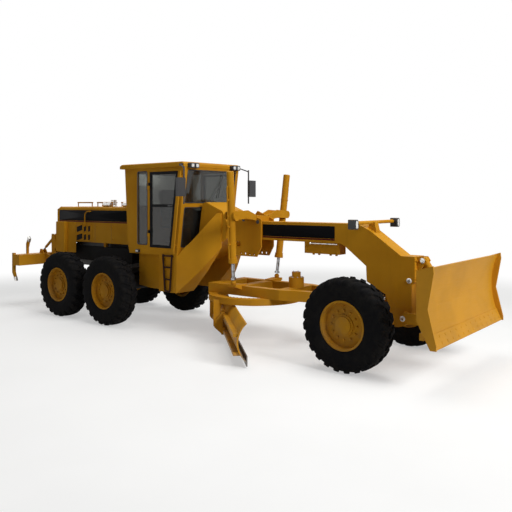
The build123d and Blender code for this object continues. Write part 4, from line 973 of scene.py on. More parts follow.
@dataclass
class Assembly:
    """Base of the groups of new pieces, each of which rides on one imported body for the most."""

    body: str = "front_frame"
    pieces: list[str] = field(default_factory=list)

    def build(self) -> None:
        """Make every piece of the group."""
        raise NotImplementedError

    def settle(self, name: str, finish: Finish, *shapes: Shape,
               body: str = "") -> bpy.types.Object:
        """Turn shapes into one object that rides on a body.

        Args:
            name: Name of the piece.
            finish: Its finish, which knows its slot.
            *shapes: Its surfaces.
            body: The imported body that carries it, or nothing for the group's own.

        Returns:
            The object, at the origin, with its place in its mesh.
        """
        piece = mesh_object(name, together(*shapes), finish)
        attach(piece, body or self.body)
        self.pieces.append(name)
        return piece


@dataclass
class OperatorSeat(Assembly):
    """Sprung seat: two padded cushions with sewn channels on a bellows base."""

    centre_x: float = 1.560
    # length, width, thickness at the seams, crown
    pad: Row = (0.49, 0.49, 0.11, 0.012)
    back: Row = (0.62, 0.47, 0.10, 0.014)
    pad_z: float = 1.990
    back_offset: tuple[float, float] = (-0.215, 0.345)
    back_lean: float = math.atan2(0.10, 0.62)
    pad_fill: float = 0.75
    back_fill: float = 0.7
    squareness: float = 0.34
    channel_depth: float = 0.006
    channel_place: float = 0.42
    channel_width: float = 0.03
    draw_in: float = 0.025
    bellows_radius: float = 0.112
    bellows_wave: float = 0.012
    bellows_folds: int = 7
    bellows_foot: float = 1.545
    bellows_height: float = 0.33
    # plates: width, height, corner, thickness, rolled edge
    pan: Row = (0.46, 0.45, 0.05, 0.05, 0.012)
    pan_z: float = 1.875
    arm_rest: Row = (0.30, 0.05, 0.024, 0.036, 0.010)
    arm: Point = (-0.02, 0.225, 2.215)
    # the post of an arm: X and Z at its foot and at its top
    post: Row = (-0.16, 2.03, -0.13, 2.22)
    post_radius: float = 0.012

    def cushion(self, length: float, width: float, thick: float, crown: float) -> Shape:
        """A rounded box whose faces swell and whose sides draw in between the corners.

        With a and b the angles along and round the cushion, the section is the super-ellipse
        (sign(cos) |cos|^e, sign(sin) |sin|^e). The faces rise by the crown times the product of
        the cosines of the place across, less a channel of bell shape on either side, and the
        sides draw in by a share of the cosine.

        Args:
            length: Size along local X.
            width: Size along local Y.
            thick: Size along local Z at the seams.
            crown: Extra height at the middle of a face.

        Returns:
            The cushion round the origin.
        """
        def squared(value: np.ndarray) -> np.ndarray:
            """Sign of the value times its size raised to the squareness."""
            return np.sign(value) * np.abs(value) ** self.squareness

        a = np.linspace(-0.5 * np.pi + 0.02, 0.5 * np.pi - 0.02, 37)[:, None]
        b = np.linspace(0.0, 2.0 * np.pi, 72, endpoint=False)[None]
        x, y = squared(np.sin(a)) * np.ones_like(b), squared(np.cos(a)) * squared(np.cos(b))
        hill_x, hill_y = np.cos(0.5 * np.pi * x), np.cos(0.5 * np.pi * y)
        z = squared(np.cos(a)) * squared(np.sin(b)) * (0.5 * thick + crown * hill_x * hill_y)
        bell = np.exp(-((np.abs(y) - self.channel_place) / self.channel_width) ** 2)
        z -= self.channel_depth * bell * (z > 0)
        rings = np.stack([0.5 * length * x * (1.0 - self.draw_in * hill_y * np.abs(x) ** 6),
                          0.5 * width * y * (1.0 - self.draw_in * hill_x * np.abs(y) ** 6), z], -1)
        return loft(rings)

    def build(self) -> None:
        """Make the two cushions, the base and the arm rests."""
        pad = self.cushion(*self.pad).at(self.centre_x, 0.0, self.pad_z)
        seat_pad = self.settle("seat_pad", COVER, pad)
        c, s = math.cos(self.back_lean), math.sin(self.back_lean)
        turn = np.array([[-s, 0.0, c], [0.0, -1.0, 0.0], [c, 0.0, s]])
        offset_x, offset_z = self.back_offset
        place = (self.centre_x + offset_x, 0.0, self.pad_z + offset_z)
        seat_back = self.settle("seat_back", COVER,
                                self.cushion(*self.back).copies(turn[None], [place]))
        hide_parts("seat")
        self.build_base()

    def build_base(self) -> None:
        """Make the bellows, whose radius waves with height, the pan under the pad and the arms."""
        t = np.linspace(0.0, 1.0, 61)
        wave = self.bellows_wave * np.cos(2.0 * np.pi * self.bellows_folds * t)
        height = self.bellows_foot + self.bellows_height * t
        bellows = lathe(np.stack([self.bellows_radius + wave, height], -1), 40)
        pan = rounded_plate(*self.pan)
        self.settle("seat_base", PLASTIC, bellows.at(self.centre_x, 0.0, 0.0),
                    pan.at(self.centre_x, 0.0, self.pan_z))
        (x, y, z), (foot_x, foot_z, top_x, top_z) = self.arm, self.post
        arms, middle = [], self.centre_x
        for side in Side:
            post = side.places((middle + foot_x, y, foot_z), (middle + top_x, y, top_z))
            arms += [rounded_plate(*self.arm_rest).at(middle + x, side.value * y, z),
                     tube(post, self.post_radius)]
        self.settle("seat_arm_rests", PLASTIC, *arms)


@dataclass
class Lamps(Assembly):
    """Domed lenses with bezels, and dark shells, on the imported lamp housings."""

    roof: tuple[Point, ...] = ((2.5603, 0.52, 3.060), (2.5603, 0.64, 3.060))
    bar: Point = (5.9080, 0.680, 2.060)
    side: Point = (1.290, 0.7506, 1.450)
    # lenses: distance of the front, width, height
    roof_lens: Point = (2.6445, 0.078, 0.066)
    bar_lens: Point = (6.0342, 0.074, 0.116)
    side_lens: Point = (0.8018, 0.07, 0.042)
    # shells: width, height, corner, depth, rolled edge
    roof_shell: Row = (0.108, 0.097, 0.016, 0.084, 0.006)
    bar_shell: Row = (0.097, 0.147, 0.016, 0.126, 0.006)
    side_shell: Row = (0.097, 0.067, 0.016, 0.051, 0.006)

    def build(self) -> None:
        """Set the lenses on the housings' fronts, and the shells from their rear faces on."""
        (roof_x, *roof_size), (bar_x, *bar_size) = self.roof_lens, self.bar_lens
        (x, _, z), (side_y, *side_size) = self.side, self.side_lens
        fronts = [(roof_size, AHEAD, mirrored(*((roof_x, *place[1:]) for place in self.roof))),
                  (bar_size, AHEAD, mirrored((bar_x, *self.bar[1:])))]
        fronts += [(side_size, side.out, side.places((x, side_y, z))) for side in Side]
        lenses, bezels = lamp_fronts(fronts)
        self.settle("lamp_lenses", WHITE_LENS, lenses)
        self.settle("lamp_bezels", PLASTIC, bezels)
        shells = [(self.roof_shell, AHEAD, mirrored(*self.roof)),
                  (self.bar_shell, AHEAD, mirrored(self.bar))]
        shells += [(self.side_shell, side.out, side.places(self.side)) for side in Side]
        self.settle("lamp_shells", LAMP_SHELL, *(
            spread(rounded_plate(*size), direction, places) for size, direction, places in shells))


@dataclass
class Stripes(Assembly):
    """Plain black bands with a dark red line below, on the hood's and the beam's sides."""

    thickness: float = 0.0022
    edge: float = 0.0006
    corner: float = 0.006
    line: tuple[float, float] = (-0.030, -0.006)
    # name, body, rear end, front end, lower edge, upper edge, wall
    rows: tuple[tuple, ...] = (
        ("hood", "rear_frame", -1.745, 0.66, 1.985, 2.215, 0.5003),
        ("beam", "front_frame", 3.88, 5.34, 1.805, 2.005, 0.1603),
    )

    def build(self) -> None:
        """Lay the bands and the lines."""
        for name, body, x_from, x_to, low, high, wall in self.rows:
            below, above = (low + drop for drop in self.line)
            for kind, finish, limits in (("band", STRIPE_AND_SHADE_BLACK, (x_from, x_to, low, high)),
                                         ("red_line", STRIPE_RED, (x_from, x_to, below, above))):
                outline = panel_outline(limits, self.corner, 3)
                self.settle(f"{name}_{kind}", finish, body=body,
                            *wall_plates(outline, wall, self.thickness, self.edge))


@dataclass
class WheelFittings(Assembly):
    """Nuts, hub bolts and the valve of each wheel."""

    wheel_y: float = 1.045
    # bolt's radius and height, circle's radius, count, distance beyond wheel_y
    rings: tuple[Row, ...] = ((0.017, 0.026, 0.205, 12, 0.0755), (0.011, 0.014, 0.085, 8, 0.1053))
    valve: Profile = ((0.006, 0.0), (0.006, 0.05), (0.009, 0.052), (0.009, 0.07), (0.005, 0.074))
    valve_foot: Point = (0.0, 0.070, 0.27)

    def build(self) -> None:
        """Set the rings of nuts on the six discs. Nut k stands at the angle 2 pi k / n."""
        valve = lathe(self.valve, 12)
        for wheel, side in WHEELS:
            hub = middle_of(f"rim_{wheel}")
            hub[1] = side.value * self.wheel_y
            fittings = []
            for radius, height, reach, count, y in self.rings:
                ring = np.insert(circle_points(count) * reach, 1, side.value * y, 1)
                fittings.append(spread(hex_bolt(radius, height), side.out, hub + ring))
            fittings.append(spread(valve, side.out, hub + np.array(side.places(self.valve_foot))))
            self.settle(f"wheel_nuts_{wheel}", RIM_PAINT, *fittings, body=f"wheel_{wheel}")


@dataclass
class Tyres(Assembly):
    """Six tyres: a smooth carcass of one closed section, with two rows of slanting lugs."""

    crown: float = 0.648
    lug_top: float = 0.670
    half_width: float = 0.1875
    widest: float = 0.470
    bead: float = 0.345
    bead_share: float = 0.80
    shoulder: float = 0.55
    lug_shoulder: float = 0.42
    lugs: int = 24
    lug_width: float = 0.080
    lug_batter: float = 0.006
    lug_root: float = 0.010
    lug_section: Row = (-0.60, -0.48, -0.38, 0.38, 0.48, 0.60)
    skew: float = 0.15
    lip: Profile = ((0.325, 0.0), (0.345, 0.0), (0.352, 0.006), (0.350, 0.014), (0.340, 0.017),
                    (0.325, 0.014))
    lip_y: float = 0.1495

    def reach(self, share: np.ndarray, top: float, power: float) -> np.ndarray:
        """Radius at a share of the half width.

        A quarter of a super-ellipse runs from the widest point up to the top:
        widest + (top - widest) (1 - share^(2 / power))^(power / 2).

        Args:
            share: Distance from the middle over the half width.
            top: Radius at the middle.
            power: Below 1 the shoulder is squarer.

        Returns:
            The radii.
        """
        return self.widest + (top - self.widest) * (1.0 - share ** (2.0 / power)) ** (0.5 * power)

    def section(self) -> np.ndarray:
        """Closed section of (radius, across): bead, bulging wall, crown and the other half."""
        v = np.linspace(1.0, 0.0, 8, endpoint=False)
        share = np.cos(np.linspace(0.0, 0.5 * np.pi, 18)) ** 0.55
        across = np.concatenate([1.0 - (1.0 - self.bead_share) * v ** 2, share]) * self.half_width
        radius = np.concatenate([self.widest - (self.widest - self.bead) * v,
                                 self.reach(share, self.crown, self.shoulder)])
        half = np.stack([radius, across], -1)
        return np.concatenate([half, half[-2::-1] * np.array([1.0, -1.0])])

    def lug(self, hand: int) -> Shape:
        """One lug, from near the middle over the shoulder, battered, with its top rounded off.

        Station a stands at the place a times the half width and the angle skew times a. Its six
        points are two at the foot, below the carcass, and four along the top.

        Args:
            hand: 1 for the row on the left, -1 for the one on the right.

        Returns:
            The lug's closed surface, round the axle along local Z.
        """
        a = np.linspace(0.05, 0.965, 11)[:, None]
        foot = self.reach(a, self.crown, self.shoulder) - self.lug_root
        top = self.reach(a, self.lug_top, self.lug_shoulder)
        low_top = top - self.lug_batter
        radius = np.concatenate([foot, low_top, top, top, low_top, foot], 1)
        width = np.array([self.lug_section]) * self.lug_width / self.lug_top
        angle = self.skew * a + width * (1.0 + 0.25 * a)
        across = hand * self.half_width * a * np.ones_like(radius)
        return loft(np.stack([radius * np.cos(angle), radius * np.sin(angle), across], -1))

    def build(self) -> None:
        """Turn the carcass, set the lugs round it and place it on each wheel."""
        rows = [hoop(self.section(), 120)]
        for hand, shift in ((1, 0.0), (-1, np.pi / self.lugs)):
            turns = turns_about_z(2.0 * np.pi * np.arange(self.lugs) / self.lugs + shift)
            rows.append(self.lug(hand).copies(turns, [(0.0, 0.0, 0.0)]))
        tyre, lip = together(*rows), hoop(self.lip, 96)
        for wheel, side in WHEELS:
            hub, body = middle_of(f"tyre_{wheel}"), f"wheel_{wheel}"
            piece = self.settle(f"treaded_tyre_{wheel}", rubber_of(wheel),
                                spread(tyre, side.out, [hub]), body=body)
            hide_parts(f"tyre_{wheel}")
            self.settle(f"rim_lips_{wheel}", RIM_PAINT, body=body, *(
                spread(lip, face.out, [hub + np.array(face.out) * self.lip_y]) for face in Side))


@dataclass
class HoodTrim(Assembly):
    """Louvres, side guards, hooks, stack, cleaner and cans, seams, latches and tail lamps."""

    body: str = "rear_frame"
    wall: float = 0.5003
    # plates: rear end, front end, lower edge, upper edge, corner, thickness, rolled edge
    louvre_panel: Row = (-1.105, -0.530, 1.545, 1.925, 0.03, 0.006, 0.002)
    guard: Row = (-1.758, -1.110, 1.275, 1.955, 0.02, 0.009, 0.003)
    column: Row = (-1.758, -1.425, 1.275, 1.955, 0.018, 0.092, 0.012)
    seam: Row = (1.545, 1.945, 0.0015, 0.0012, 0.0004)
    slot_rows: Row = (1.632, 1.818)
    slots: Profile = ((-0.975, 0.215), (-0.775, 0.095), (-0.630, 0.085))
    slot_height: float = 0.135
    slot_corner: float = 0.022
    # mouths' black plates of painted shade, and vanes: distance beyond the wall, thickness, rolled
    # edge
    mouth: Row = (0.0062, 0.0012, 0.0004)
    vane: Row = (0.0055, 0.018, 0.009)
    vane_height: float = 0.17 * 0.135
    vane_rise: float = 0.46 * 0.135
    vane_longer: float = 0.012
    vane_corner: float = 0.010
    rim_out: float = 0.007
    rim_radius: float = 0.0055
    slope: float = 0.26
    seams: Row = (-0.43, 0.12)
    seam_half: float = 0.002
    latch_ahead: float = 0.05
    latch_heights: Row = (1.62, 1.86)
    knob: Profile = ((0.022, 0.0), (0.022, 0.004), (0.013, 0.006), (0.011, 0.014), (0.006, 0.017))
    top: float = 2.2913
    stack: Profile = ((0.095, 0.0), (0.095, 0.010), (0.070, 0.016), (0.061, 0.026), (0.060, 0.130),
                      (0.065, 0.136), (0.065, 0.148), (0.054, 0.148), (0.053, 0.070))
    bowl: Profile = ((0.060, 0.0), (0.060, 0.052), (0.086, 0.060), (0.100, 0.074), (0.103, 0.112),
                     (0.098, 0.126), (0.070, 0.142), (0.020, 0.148))
    can: Profile = ((0.030, 0.0), (0.044, 0.003), (0.050, 0.012), (0.050, 0.100), (0.046, 0.106),
                    (0.046, 0.150), (0.050, 0.156), (0.050, 0.244), (0.044, 0.256), (0.020, 0.262))
    stack_place: tuple[float, float] = (-0.280, -0.120)
    bowl_place: tuple[float, float] = (0.360, -0.120)
    # cans: X of the rear end, share of the full length
    cans: Profile = ((-0.350, 1.0), (0.320, 0.55))
    can_y: float = -0.330
    can_rise: float = 0.046
    hook_stand: float = 0.036
    hook_low: tuple[float, float] = (-0.745, 1.860)
    hook_bend: Profile = ((-0.745, 2.060), (-0.712, 2.160), (-0.600, 2.190))
    hook_tip: tuple[float, float] = (-0.550, 2.192)
    hook_feet: Profile = ((-0.745, 1.885), (-0.572, 2.191))
    hook_radius: float = 0.012
    foot_radius: float = 0.010
    tail_lamp: Point = (-1.8286, 0.470, 2.100)
    tail_size: tuple[float, float] = (0.044, 0.110)

    def plates(self, row: Row) -> list[Shape]:
        """A plate on each side of the hood, from its row of sizes."""
        *limits, corner, thickness, edge = row
        return wall_plates(panel_outline(limits, corner, 5), self.wall, thickness, edge)

    def slanted(self, length: float, height: float, corner: float, x: float,
                z: float) -> np.ndarray:
        """Outline of a slot whose ends stay upright while it climbs with the slope.

        Args:
            length: Length in machine X.
            height: Height of its ends.
            corner: Radius of its corners.
            x: Middle in machine X.
            z: Middle in machine Z.

        Returns:
            Array of (24, 2).
        """
        outline = rounded_outline(length, height, corner)
        outline[:, 1] += self.slope * outline[:, 0]
        return outline + np.array([x, z])

    def build(self) -> None:
        """Make every piece of the hood's trim."""
        self.settle("hood_side_panels", PAINT_HIGH, *self.plates(self.louvre_panel),
                    *self.plates(self.guard))
        self.settle("rear_side_columns", PAINT_HIGH, *self.plates(self.column))
        self.build_louvres()
        seams = [(x - self.seam_half, x + self.seam_half, *self.seam) for x in self.seams]
        self.settle("hood_seams", SEAL_RUBBER,
                    *(plate for row in seams for plate in self.plates(row)))
        latches = [(x + self.latch_ahead, self.wall, z) for x in self.seams
                   for z in self.latch_heights]
        self.settle("hood_latches", PAINT_HIGH, *on_both_sides(lathe(self.knob, 24), *latches))
        self.build_top()
        self.build_hooks()
        lenses, bezels = lamp_fronts([(self.tail_size, BACK, mirrored(self.tail_lamp))])
        self.settle("tail_lenses", RED_LENS, lenses)
        self.settle("tail_bezels", PLASTIC, bezels)

    def build_louvres(self) -> None:
        """Lay a flat black plate on each slot as painted shade of its open mouth, with a vane
        above it and a rolled rim round it.
        """
        mouth_shade_plates, vanes = [], []
        shade_plate_out, *mouth = self.mouth
        vane_out, *vane = self.vane
        for z in self.slot_rows:
            for x, length in self.slots:
                slot = self.slanted(length, self.slot_height, self.slot_corner, x, z)
                # the mouth is a flat black plate just off the wall: painted shade of the slot's
                # opening
                mouth_shade_plates += wall_plates(slot, self.wall + shade_plate_out, *mouth)
                blade = self.slanted(length + self.vane_longer, self.vane_height,
                                     self.vane_corner, x, z + self.vane_rise)
                vanes += wall_plates(blade, self.wall + vane_out, *vane)
                rims = [np.insert(slot, 1, side.value * (self.wall + self.rim_out), 1)
                        for side in Side]
                vanes += [tube(rim, self.rim_radius, 8, True) for rim in rims]
        self.settle("louvre_vanes", PAINT_HIGH, *vanes)
        self.settle("louvre_mouth_painted_shade", STRIPE_AND_SHADE_BLACK, *mouth_shade_plates)

    def build_top(self) -> None:
        """Turn the exhaust stack, open at its mouth, the air cleaner's bowl and the two cans."""
        piece = self.settle(
            "stack_and_cleaner", BRIGHT_TRIM,
            spread(lathe(self.stack, 48), UP, [(*self.stack_place, self.top)]),
            spread(lathe(self.bowl, 48), UP, [(*self.bowl_place, self.top)]))
        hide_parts("exhaust_and_intake")
        cans = [spread(lathe(np.array(self.can) * (1.0, share), 40), AHEAD,
                       [(x, self.can_y, self.top + self.can_rise)]) for x, share in self.cans]
        self.settle("lying_cans", BRIGHT_TRIM, *cans)

    def build_hooks(self) -> None:
        """Bend the hooked grips off the hood's sides, one parabola from upright to level."""
        flat = np.concatenate([[self.hook_low], arc_points(*self.hook_bend, 9), [self.hook_tip]])
        grips = []
        for side in Side:
            wall, y = side.value * self.wall, side.value * (self.wall + self.hook_stand)
            grips.append(tube(np.insert(flat, 1, y, 1), self.hook_radius, 12))
            grips += [tube([(x, wall, z), (x, y, z)], self.foot_radius)
                      for x, z in self.hook_feet]
        self.settle("hood_grips", PAINT_HIGH, *grips)


@dataclass
class CabTrim(Assembly):
    """Window seals, door handles, wiper, levers and mirror faces."""

    side_wall: float = 0.7500
    side_window: Row = (1.254, 1.530, 1.580, 2.975)
    # leaning walls: X and Z of the foot, run and rise
    front_wall: Row = (2.332, 1.400, 0.218, 1.640)
    back_wall: Row = (0.962, 1.580, -0.092, 1.460)
    # panes in them: lowest and highest across, lower edge, upper edge
    front_panes: tuple[Row, ...] = ((-0.660, 0.660, 1.560, 2.290), (-0.660, 0.660, 2.380, 2.980))
    back_pane: Row = (-0.620, 0.620, 2.320, 2.960)
    pane_corner: float = 0.03
    seal_radius: float = 0.010
    handle_z: float = 2.325
    # grip and boss: width, height, corner, X, distance beyond the wall, thickness, rolled edge
    handle: tuple[Row, ...] = ((0.135, 0.026, 0.012, 2.185, 0.012, 0.014, 0.006),
                               (0.034, 0.040, 0.012, 2.130, -0.001, 0.018, 0.004))
    mirror: Point = (2.6648, 0.990, 2.660)
    # plates: width, height, corner, thickness, rolled edge
    mirror_face: Row = (0.172, 0.302, 0.02, 0.002, 0.0006)
    pod: Row = (0.105, 0.150, 0.02, 0.075, 0.010)
    # wiper's arm and blade: Y, lower and upper Z, way across, way up, stand-off, radius
    wiper: tuple[Row, ...] = ((-0.02, 2.350, 2.780, 0.28, 0.43, 0.016, 0.006),
                              (0.22, 2.470, 2.930, 0.07, 0.46, 0.008, 0.007))
    pivot: Profile = ((0.024, 0.0), (0.024, 0.014), (0.016, 0.024))
    pod_place: Point = (2.045, 0.172, 2.035)
    lever_y: Row = (0.125, 0.156, 0.187, 0.218)
    # a lever's X and Z at its foot, at its top and under its knob
    lever_foot: tuple[float, float] = (2.045, 2.09)
    lever_top: tuple[float, float] = (2.028, 2.195)
    lever_knob: tuple[float, float] = (2.026, 2.190)
    lever_radius: float = 0.0045
    knob_radius: float = 0.016

    @staticmethod
    def leaning(wall: Row, z: np.ndarray | float) -> np.ndarray | float:
        """X of a leaning wall's outer face at height z."""
        foot_x, foot_z, run, rise = wall
        return foot_x + (z - foot_z) * run / rise

    def build(self) -> None:
        """Make the cab's trim."""
        side = panel_outline(self.side_window, self.pane_corner)
        rims = [np.insert(side, 1, hand.value * self.side_wall, 1) for hand in Side]
        for wall, pane in (*((self.front_wall, p) for p in self.front_panes),
                           (self.back_wall, self.back_pane)):
            outline = panel_outline(pane, self.pane_corner)
            rims.append(np.insert(outline, 0, self.leaning(wall, outline[:, 1]), 1))
        self.settle("window_seals", SEAL_RUBBER,
                    *(tube(rim, self.seal_radius, 8, True) for rim in rims))
        self.build_handles()
        self.build_wiper()
        self.build_levers()
        self.settle("mirror_faces", MIRROR_FACE,
                    spread(rounded_plate(*self.mirror_face), BACK, mirrored(self.mirror)))

    def build_handles(self) -> None:
        """Set a grip and its boss on each door's bar."""
        for side in Side:
            self.settle(f"door_handle_{side.tag}", PLASTIC, body=f"door_{side.tag}", *(
                wall_plate(rounded_outline(width, height, corner) + np.array([x, self.handle_z]),
                           self.side_wall + out, thickness, edge, side)
                for width, height, corner, x, out, thickness, edge in self.handle))

    def build_wiper(self) -> None:
        """Lay the wiper's straight arm and blade on the upper windscreen."""
        lines = []
        for y, low, high, across, up, stand, radius in self.wiper:
            z = np.linspace(low, high, 8)
            line = (self.leaning(self.front_wall, z) + stand, y + across * (z - low) / up, z)
            lines.append(tube(np.stack(line, -1), radius, 8))
        y, z = self.wiper[0][:2]
        foot = (self.leaning(self.front_wall, z) - 0.001, y, z)
        self.settle("wiper", PLASTIC, *lines, spread(lathe(self.pivot, 20), AHEAD, [foot]))

    def build_levers(self) -> None:
        """Stand a bank of levers with ball knobs on each side of the steering column."""
        bank, knobs = [], []
        for side in Side:
            bank.append(spread(rounded_plate(*self.pod), UP, side.places(self.pod_place)))
            for y in self.lever_y:
                *stem, knob = side.places(*((x, y, z) for x, z in (
                    self.lever_foot, self.lever_top, self.lever_knob)))
                bank.append(tube(stem, self.lever_radius, 8))
                knobs.append(knob)
        self.settle("lever_banks", PLASTIC, *bank,
                    spread(ball(self.knob_radius, 12, 18), UP, knobs))


@dataclass
class NeckTrim(Assembly):
    """Pins, bolts and fittings on the saddle, the valve box and the nose."""

    saddle_face: float = 0.1905
    pin: Profile = ((0.034, 0.0), (0.034, 0.006), (0.026, 0.008), (0.026, 0.018), (0.020, 0.022))
    pins: Profile = ((3.470, 2.080), (3.790, 2.045), (3.250, 1.800))
    box_face: float = 0.1402
    rod_stand: float = 0.012
    rod_z: float = 1.714
    rod_ends: tuple[float, float] = (4.870, 5.380)
    rod_radius: float = 0.009
    ball_x: float = 4.888
    ball_radius: float = 0.019
    # bolts: radius and height
    face_bolt: tuple[float, float] = (0.011, 0.010)
    face_bolts_x: Row = (4.79, 5.08, 5.37)
    face_bolts_z: Row = (1.585, 1.670)
    plug: tuple[float, float] = (0.020, 0.030)
    plugs_x: Row = (4.86, 4.97, 5.19, 5.30)
    plugs_yz: tuple[float, float] = (-0.04, 1.549)
    nose_front: float = 6.6962
    nose_bolt: tuple[float, float] = (0.019, 0.020)
    nose_bolts_y: Row = (-0.122, 0.122)
    nose_bolts_z: Row = (1.265, 1.400, 1.535)
    cap: Profile = ((0.040, 0.0), (0.040, 0.008), (0.028, 0.012), (0.024, 0.022))
    caps: tuple[Point, ...] = ((6.780, 0.0853, 1.535), (6.560, 0.2753, 0.690),
                               (6.610, 0.1603, 1.235))

    def build(self) -> None:
        """Set the pins in the saddle, the fittings on the valve box and the bolts on the nose."""
        self.settle("saddle_pins", DARK_METAL, *on_both_sides(
            lathe(self.pin, 28), *((x, self.saddle_face, z) for x, z in self.pins)))
        y, z = -self.box_face - self.rod_stand, self.rod_z
        self.settle("valve_box_rod", BRIGHT_TRIM,
                    tube([(x, y, z) for x in self.rod_ends], self.rod_radius),
                    spread(ball(self.ball_radius, 10, 20), BACK, [(self.ball_x, y, z)]))
        face = [(x, -self.box_face, z) for x in self.face_bolts_x for z in self.face_bolts_z]
        plugs = [(x, *self.plugs_yz) for x in self.plugs_x]
        self.settle("valve_box_bolts", PAINT,
                    spread(hex_bolt(*self.face_bolt), Side.RIGHT.out, face),
                    spread(hex_bolt(*self.plug), DOWN, plugs))
        nose = [(self.nose_front, y, z) for y in self.nose_bolts_y for z in self.nose_bolts_z]
        self.settle("nose_bolts", PAINT, spread(hex_bolt(*self.nose_bolt), AHEAD, nose))
        self.settle("nose_pins", BRIGHT_TRIM, *on_both_sides(lathe(self.cap, 28), *self.caps))


@dataclass
class BladeHardware(Assembly):
    """Plough bolts of the cutting edge, and the bolts of the circle drive on the drawbar."""

    centre: Point = (3.600, 0.0, 0.0)
    yaw: float = 47.0
    edge_x: float = -0.4336
    edge_from: float = -2.144
    edge_to: float = 0.904
    bolt_z: float = 0.115
    end_margin: float = 0.07
    bolts: int = 20
    head: Profile = ((0.021, 0.0), (0.021, 0.003), (0.012, 0.0055))
    drive_x: float = 4.480
    drive_bolt: tuple[float, float] = (0.011, 0.012)
    # radius of the ring, height, bolts
    drive_rings: tuple[Row, ...] = ((0.108, 1.1151, 8), (0.055, 1.2051, 4))

    def build(self) -> None:
        """Set bolt k at an equal share of the edge's length, in the blade's turned frame."""
        along = np.linspace(self.edge_from + self.end_margin, self.edge_to - self.end_margin,
                            self.bolts)
        places = [(self.edge_x, y, self.bolt_z) for y in along]
        turn = turns_about_z(np.radians([self.yaw]))
        heads = spread(lathe(self.head, 20), AHEAD, places).copies(turn, [self.centre])
        self.settle("edge_bolts", DARK_METAL, heads, body="moldboard")
        ring = [(self.drive_x + x * reach, y * reach, z) for reach, z, count in self.drive_rings
                for x, y in circle_points(count)]
        self.settle("circle_drive_bolts", PIN_STEEL, spread(hex_bolt(*self.drive_bolt), UP, ring),
                    body="drawbar")


@dataclass
class PushBladeHardware(Assembly):
    """Bolted edge along the foot of the push blade's curved face."""

    body: str = "push_blade"
    low: tuple[float, float] = (7.480, 0.550)
    middle: tuple[float, float] = (7.330, 1.060)
    high: tuple[float, float] = (7.420, 1.570)
    half_width: float = 1.290
    thickness: float = 0.013
    sunk: float = 0.004
    edge_low: float = 0.553
    edge_top: float = 0.725
    bolts: int = 14
    bolt_rows: Row = (0.600, 0.680)
    end_margin: float = 0.07
    head: Profile = ((0.019, 0.0), (0.019, 0.003), (0.011, 0.005))

    def face(self, z: np.ndarray) -> np.ndarray:
        """Places (x, z) on the circle through the face's three points.

        The centre (a, b) has equal distance to the three points, which gives two linear
        equations; the face is the centre's x minus the root of radius squared less (z - b)
        squared.

        Args:
            z: Heights.

        Returns:
            Array of (n, 2).
        """
        p, q, r = np.array(self.low), np.array(self.middle), np.array(self.high)
        centre = np.linalg.solve(2.0 * np.stack([q - p, r - p]), [q @ q - p @ p, r @ r - p @ p])
        radius = np.linalg.norm(p - centre)
        return np.stack([centre[0] - np.sqrt(radius ** 2 - (z - centre[1]) ** 2), z], -1)

    @staticmethod
    def outward(face: np.ndarray) -> np.ndarray:
        """Unit normals of the face: the direction from place to place, turned square.

        Args:
            face: Places of (n, 2) from low to high.

        Returns:
            Array of (n, 2).
        """
        along = np.gradient(face, axis=0)
        normal = np.stack([along[:, 1], -along[:, 0]], -1)
        return normal / np.linalg.norm(normal, axis=1, keepdims=True)

    def build(self) -> None:
        """Carry the edge's section across the blade and set its bolts."""
        face = self.face(np.linspace(self.edge_low, self.edge_top, 12))
        normal = self.outward(face)
        section = np.concatenate([face - self.sunk * normal,
                                  (face + self.thickness * normal)[::-1]])
        rings = [np.insert(section, 1, y, 1) for y in (-self.half_width, 0.0, self.half_width)]
        self.settle("push_edge", PUSH_PAINT, loft(np.stack(rings)))
        head, end = lathe(self.head, 20), self.half_width - self.end_margin
        bolts = []
        for z in self.bolt_rows:
            spots = self.face(z + np.array([-0.001, 0.0, 0.001]))
            out = self.outward(spots)[1]
            row = np.array([spots[1] + self.thickness * out] * self.bolts)
            bolts.append(spread(head, (out[0], 0.0, out[1]),
                                np.insert(row, 1, np.linspace(-end, end, self.bolts), 1)))
        self.settle("push_edge_bolts", PUSH_PAINT, *bolts)


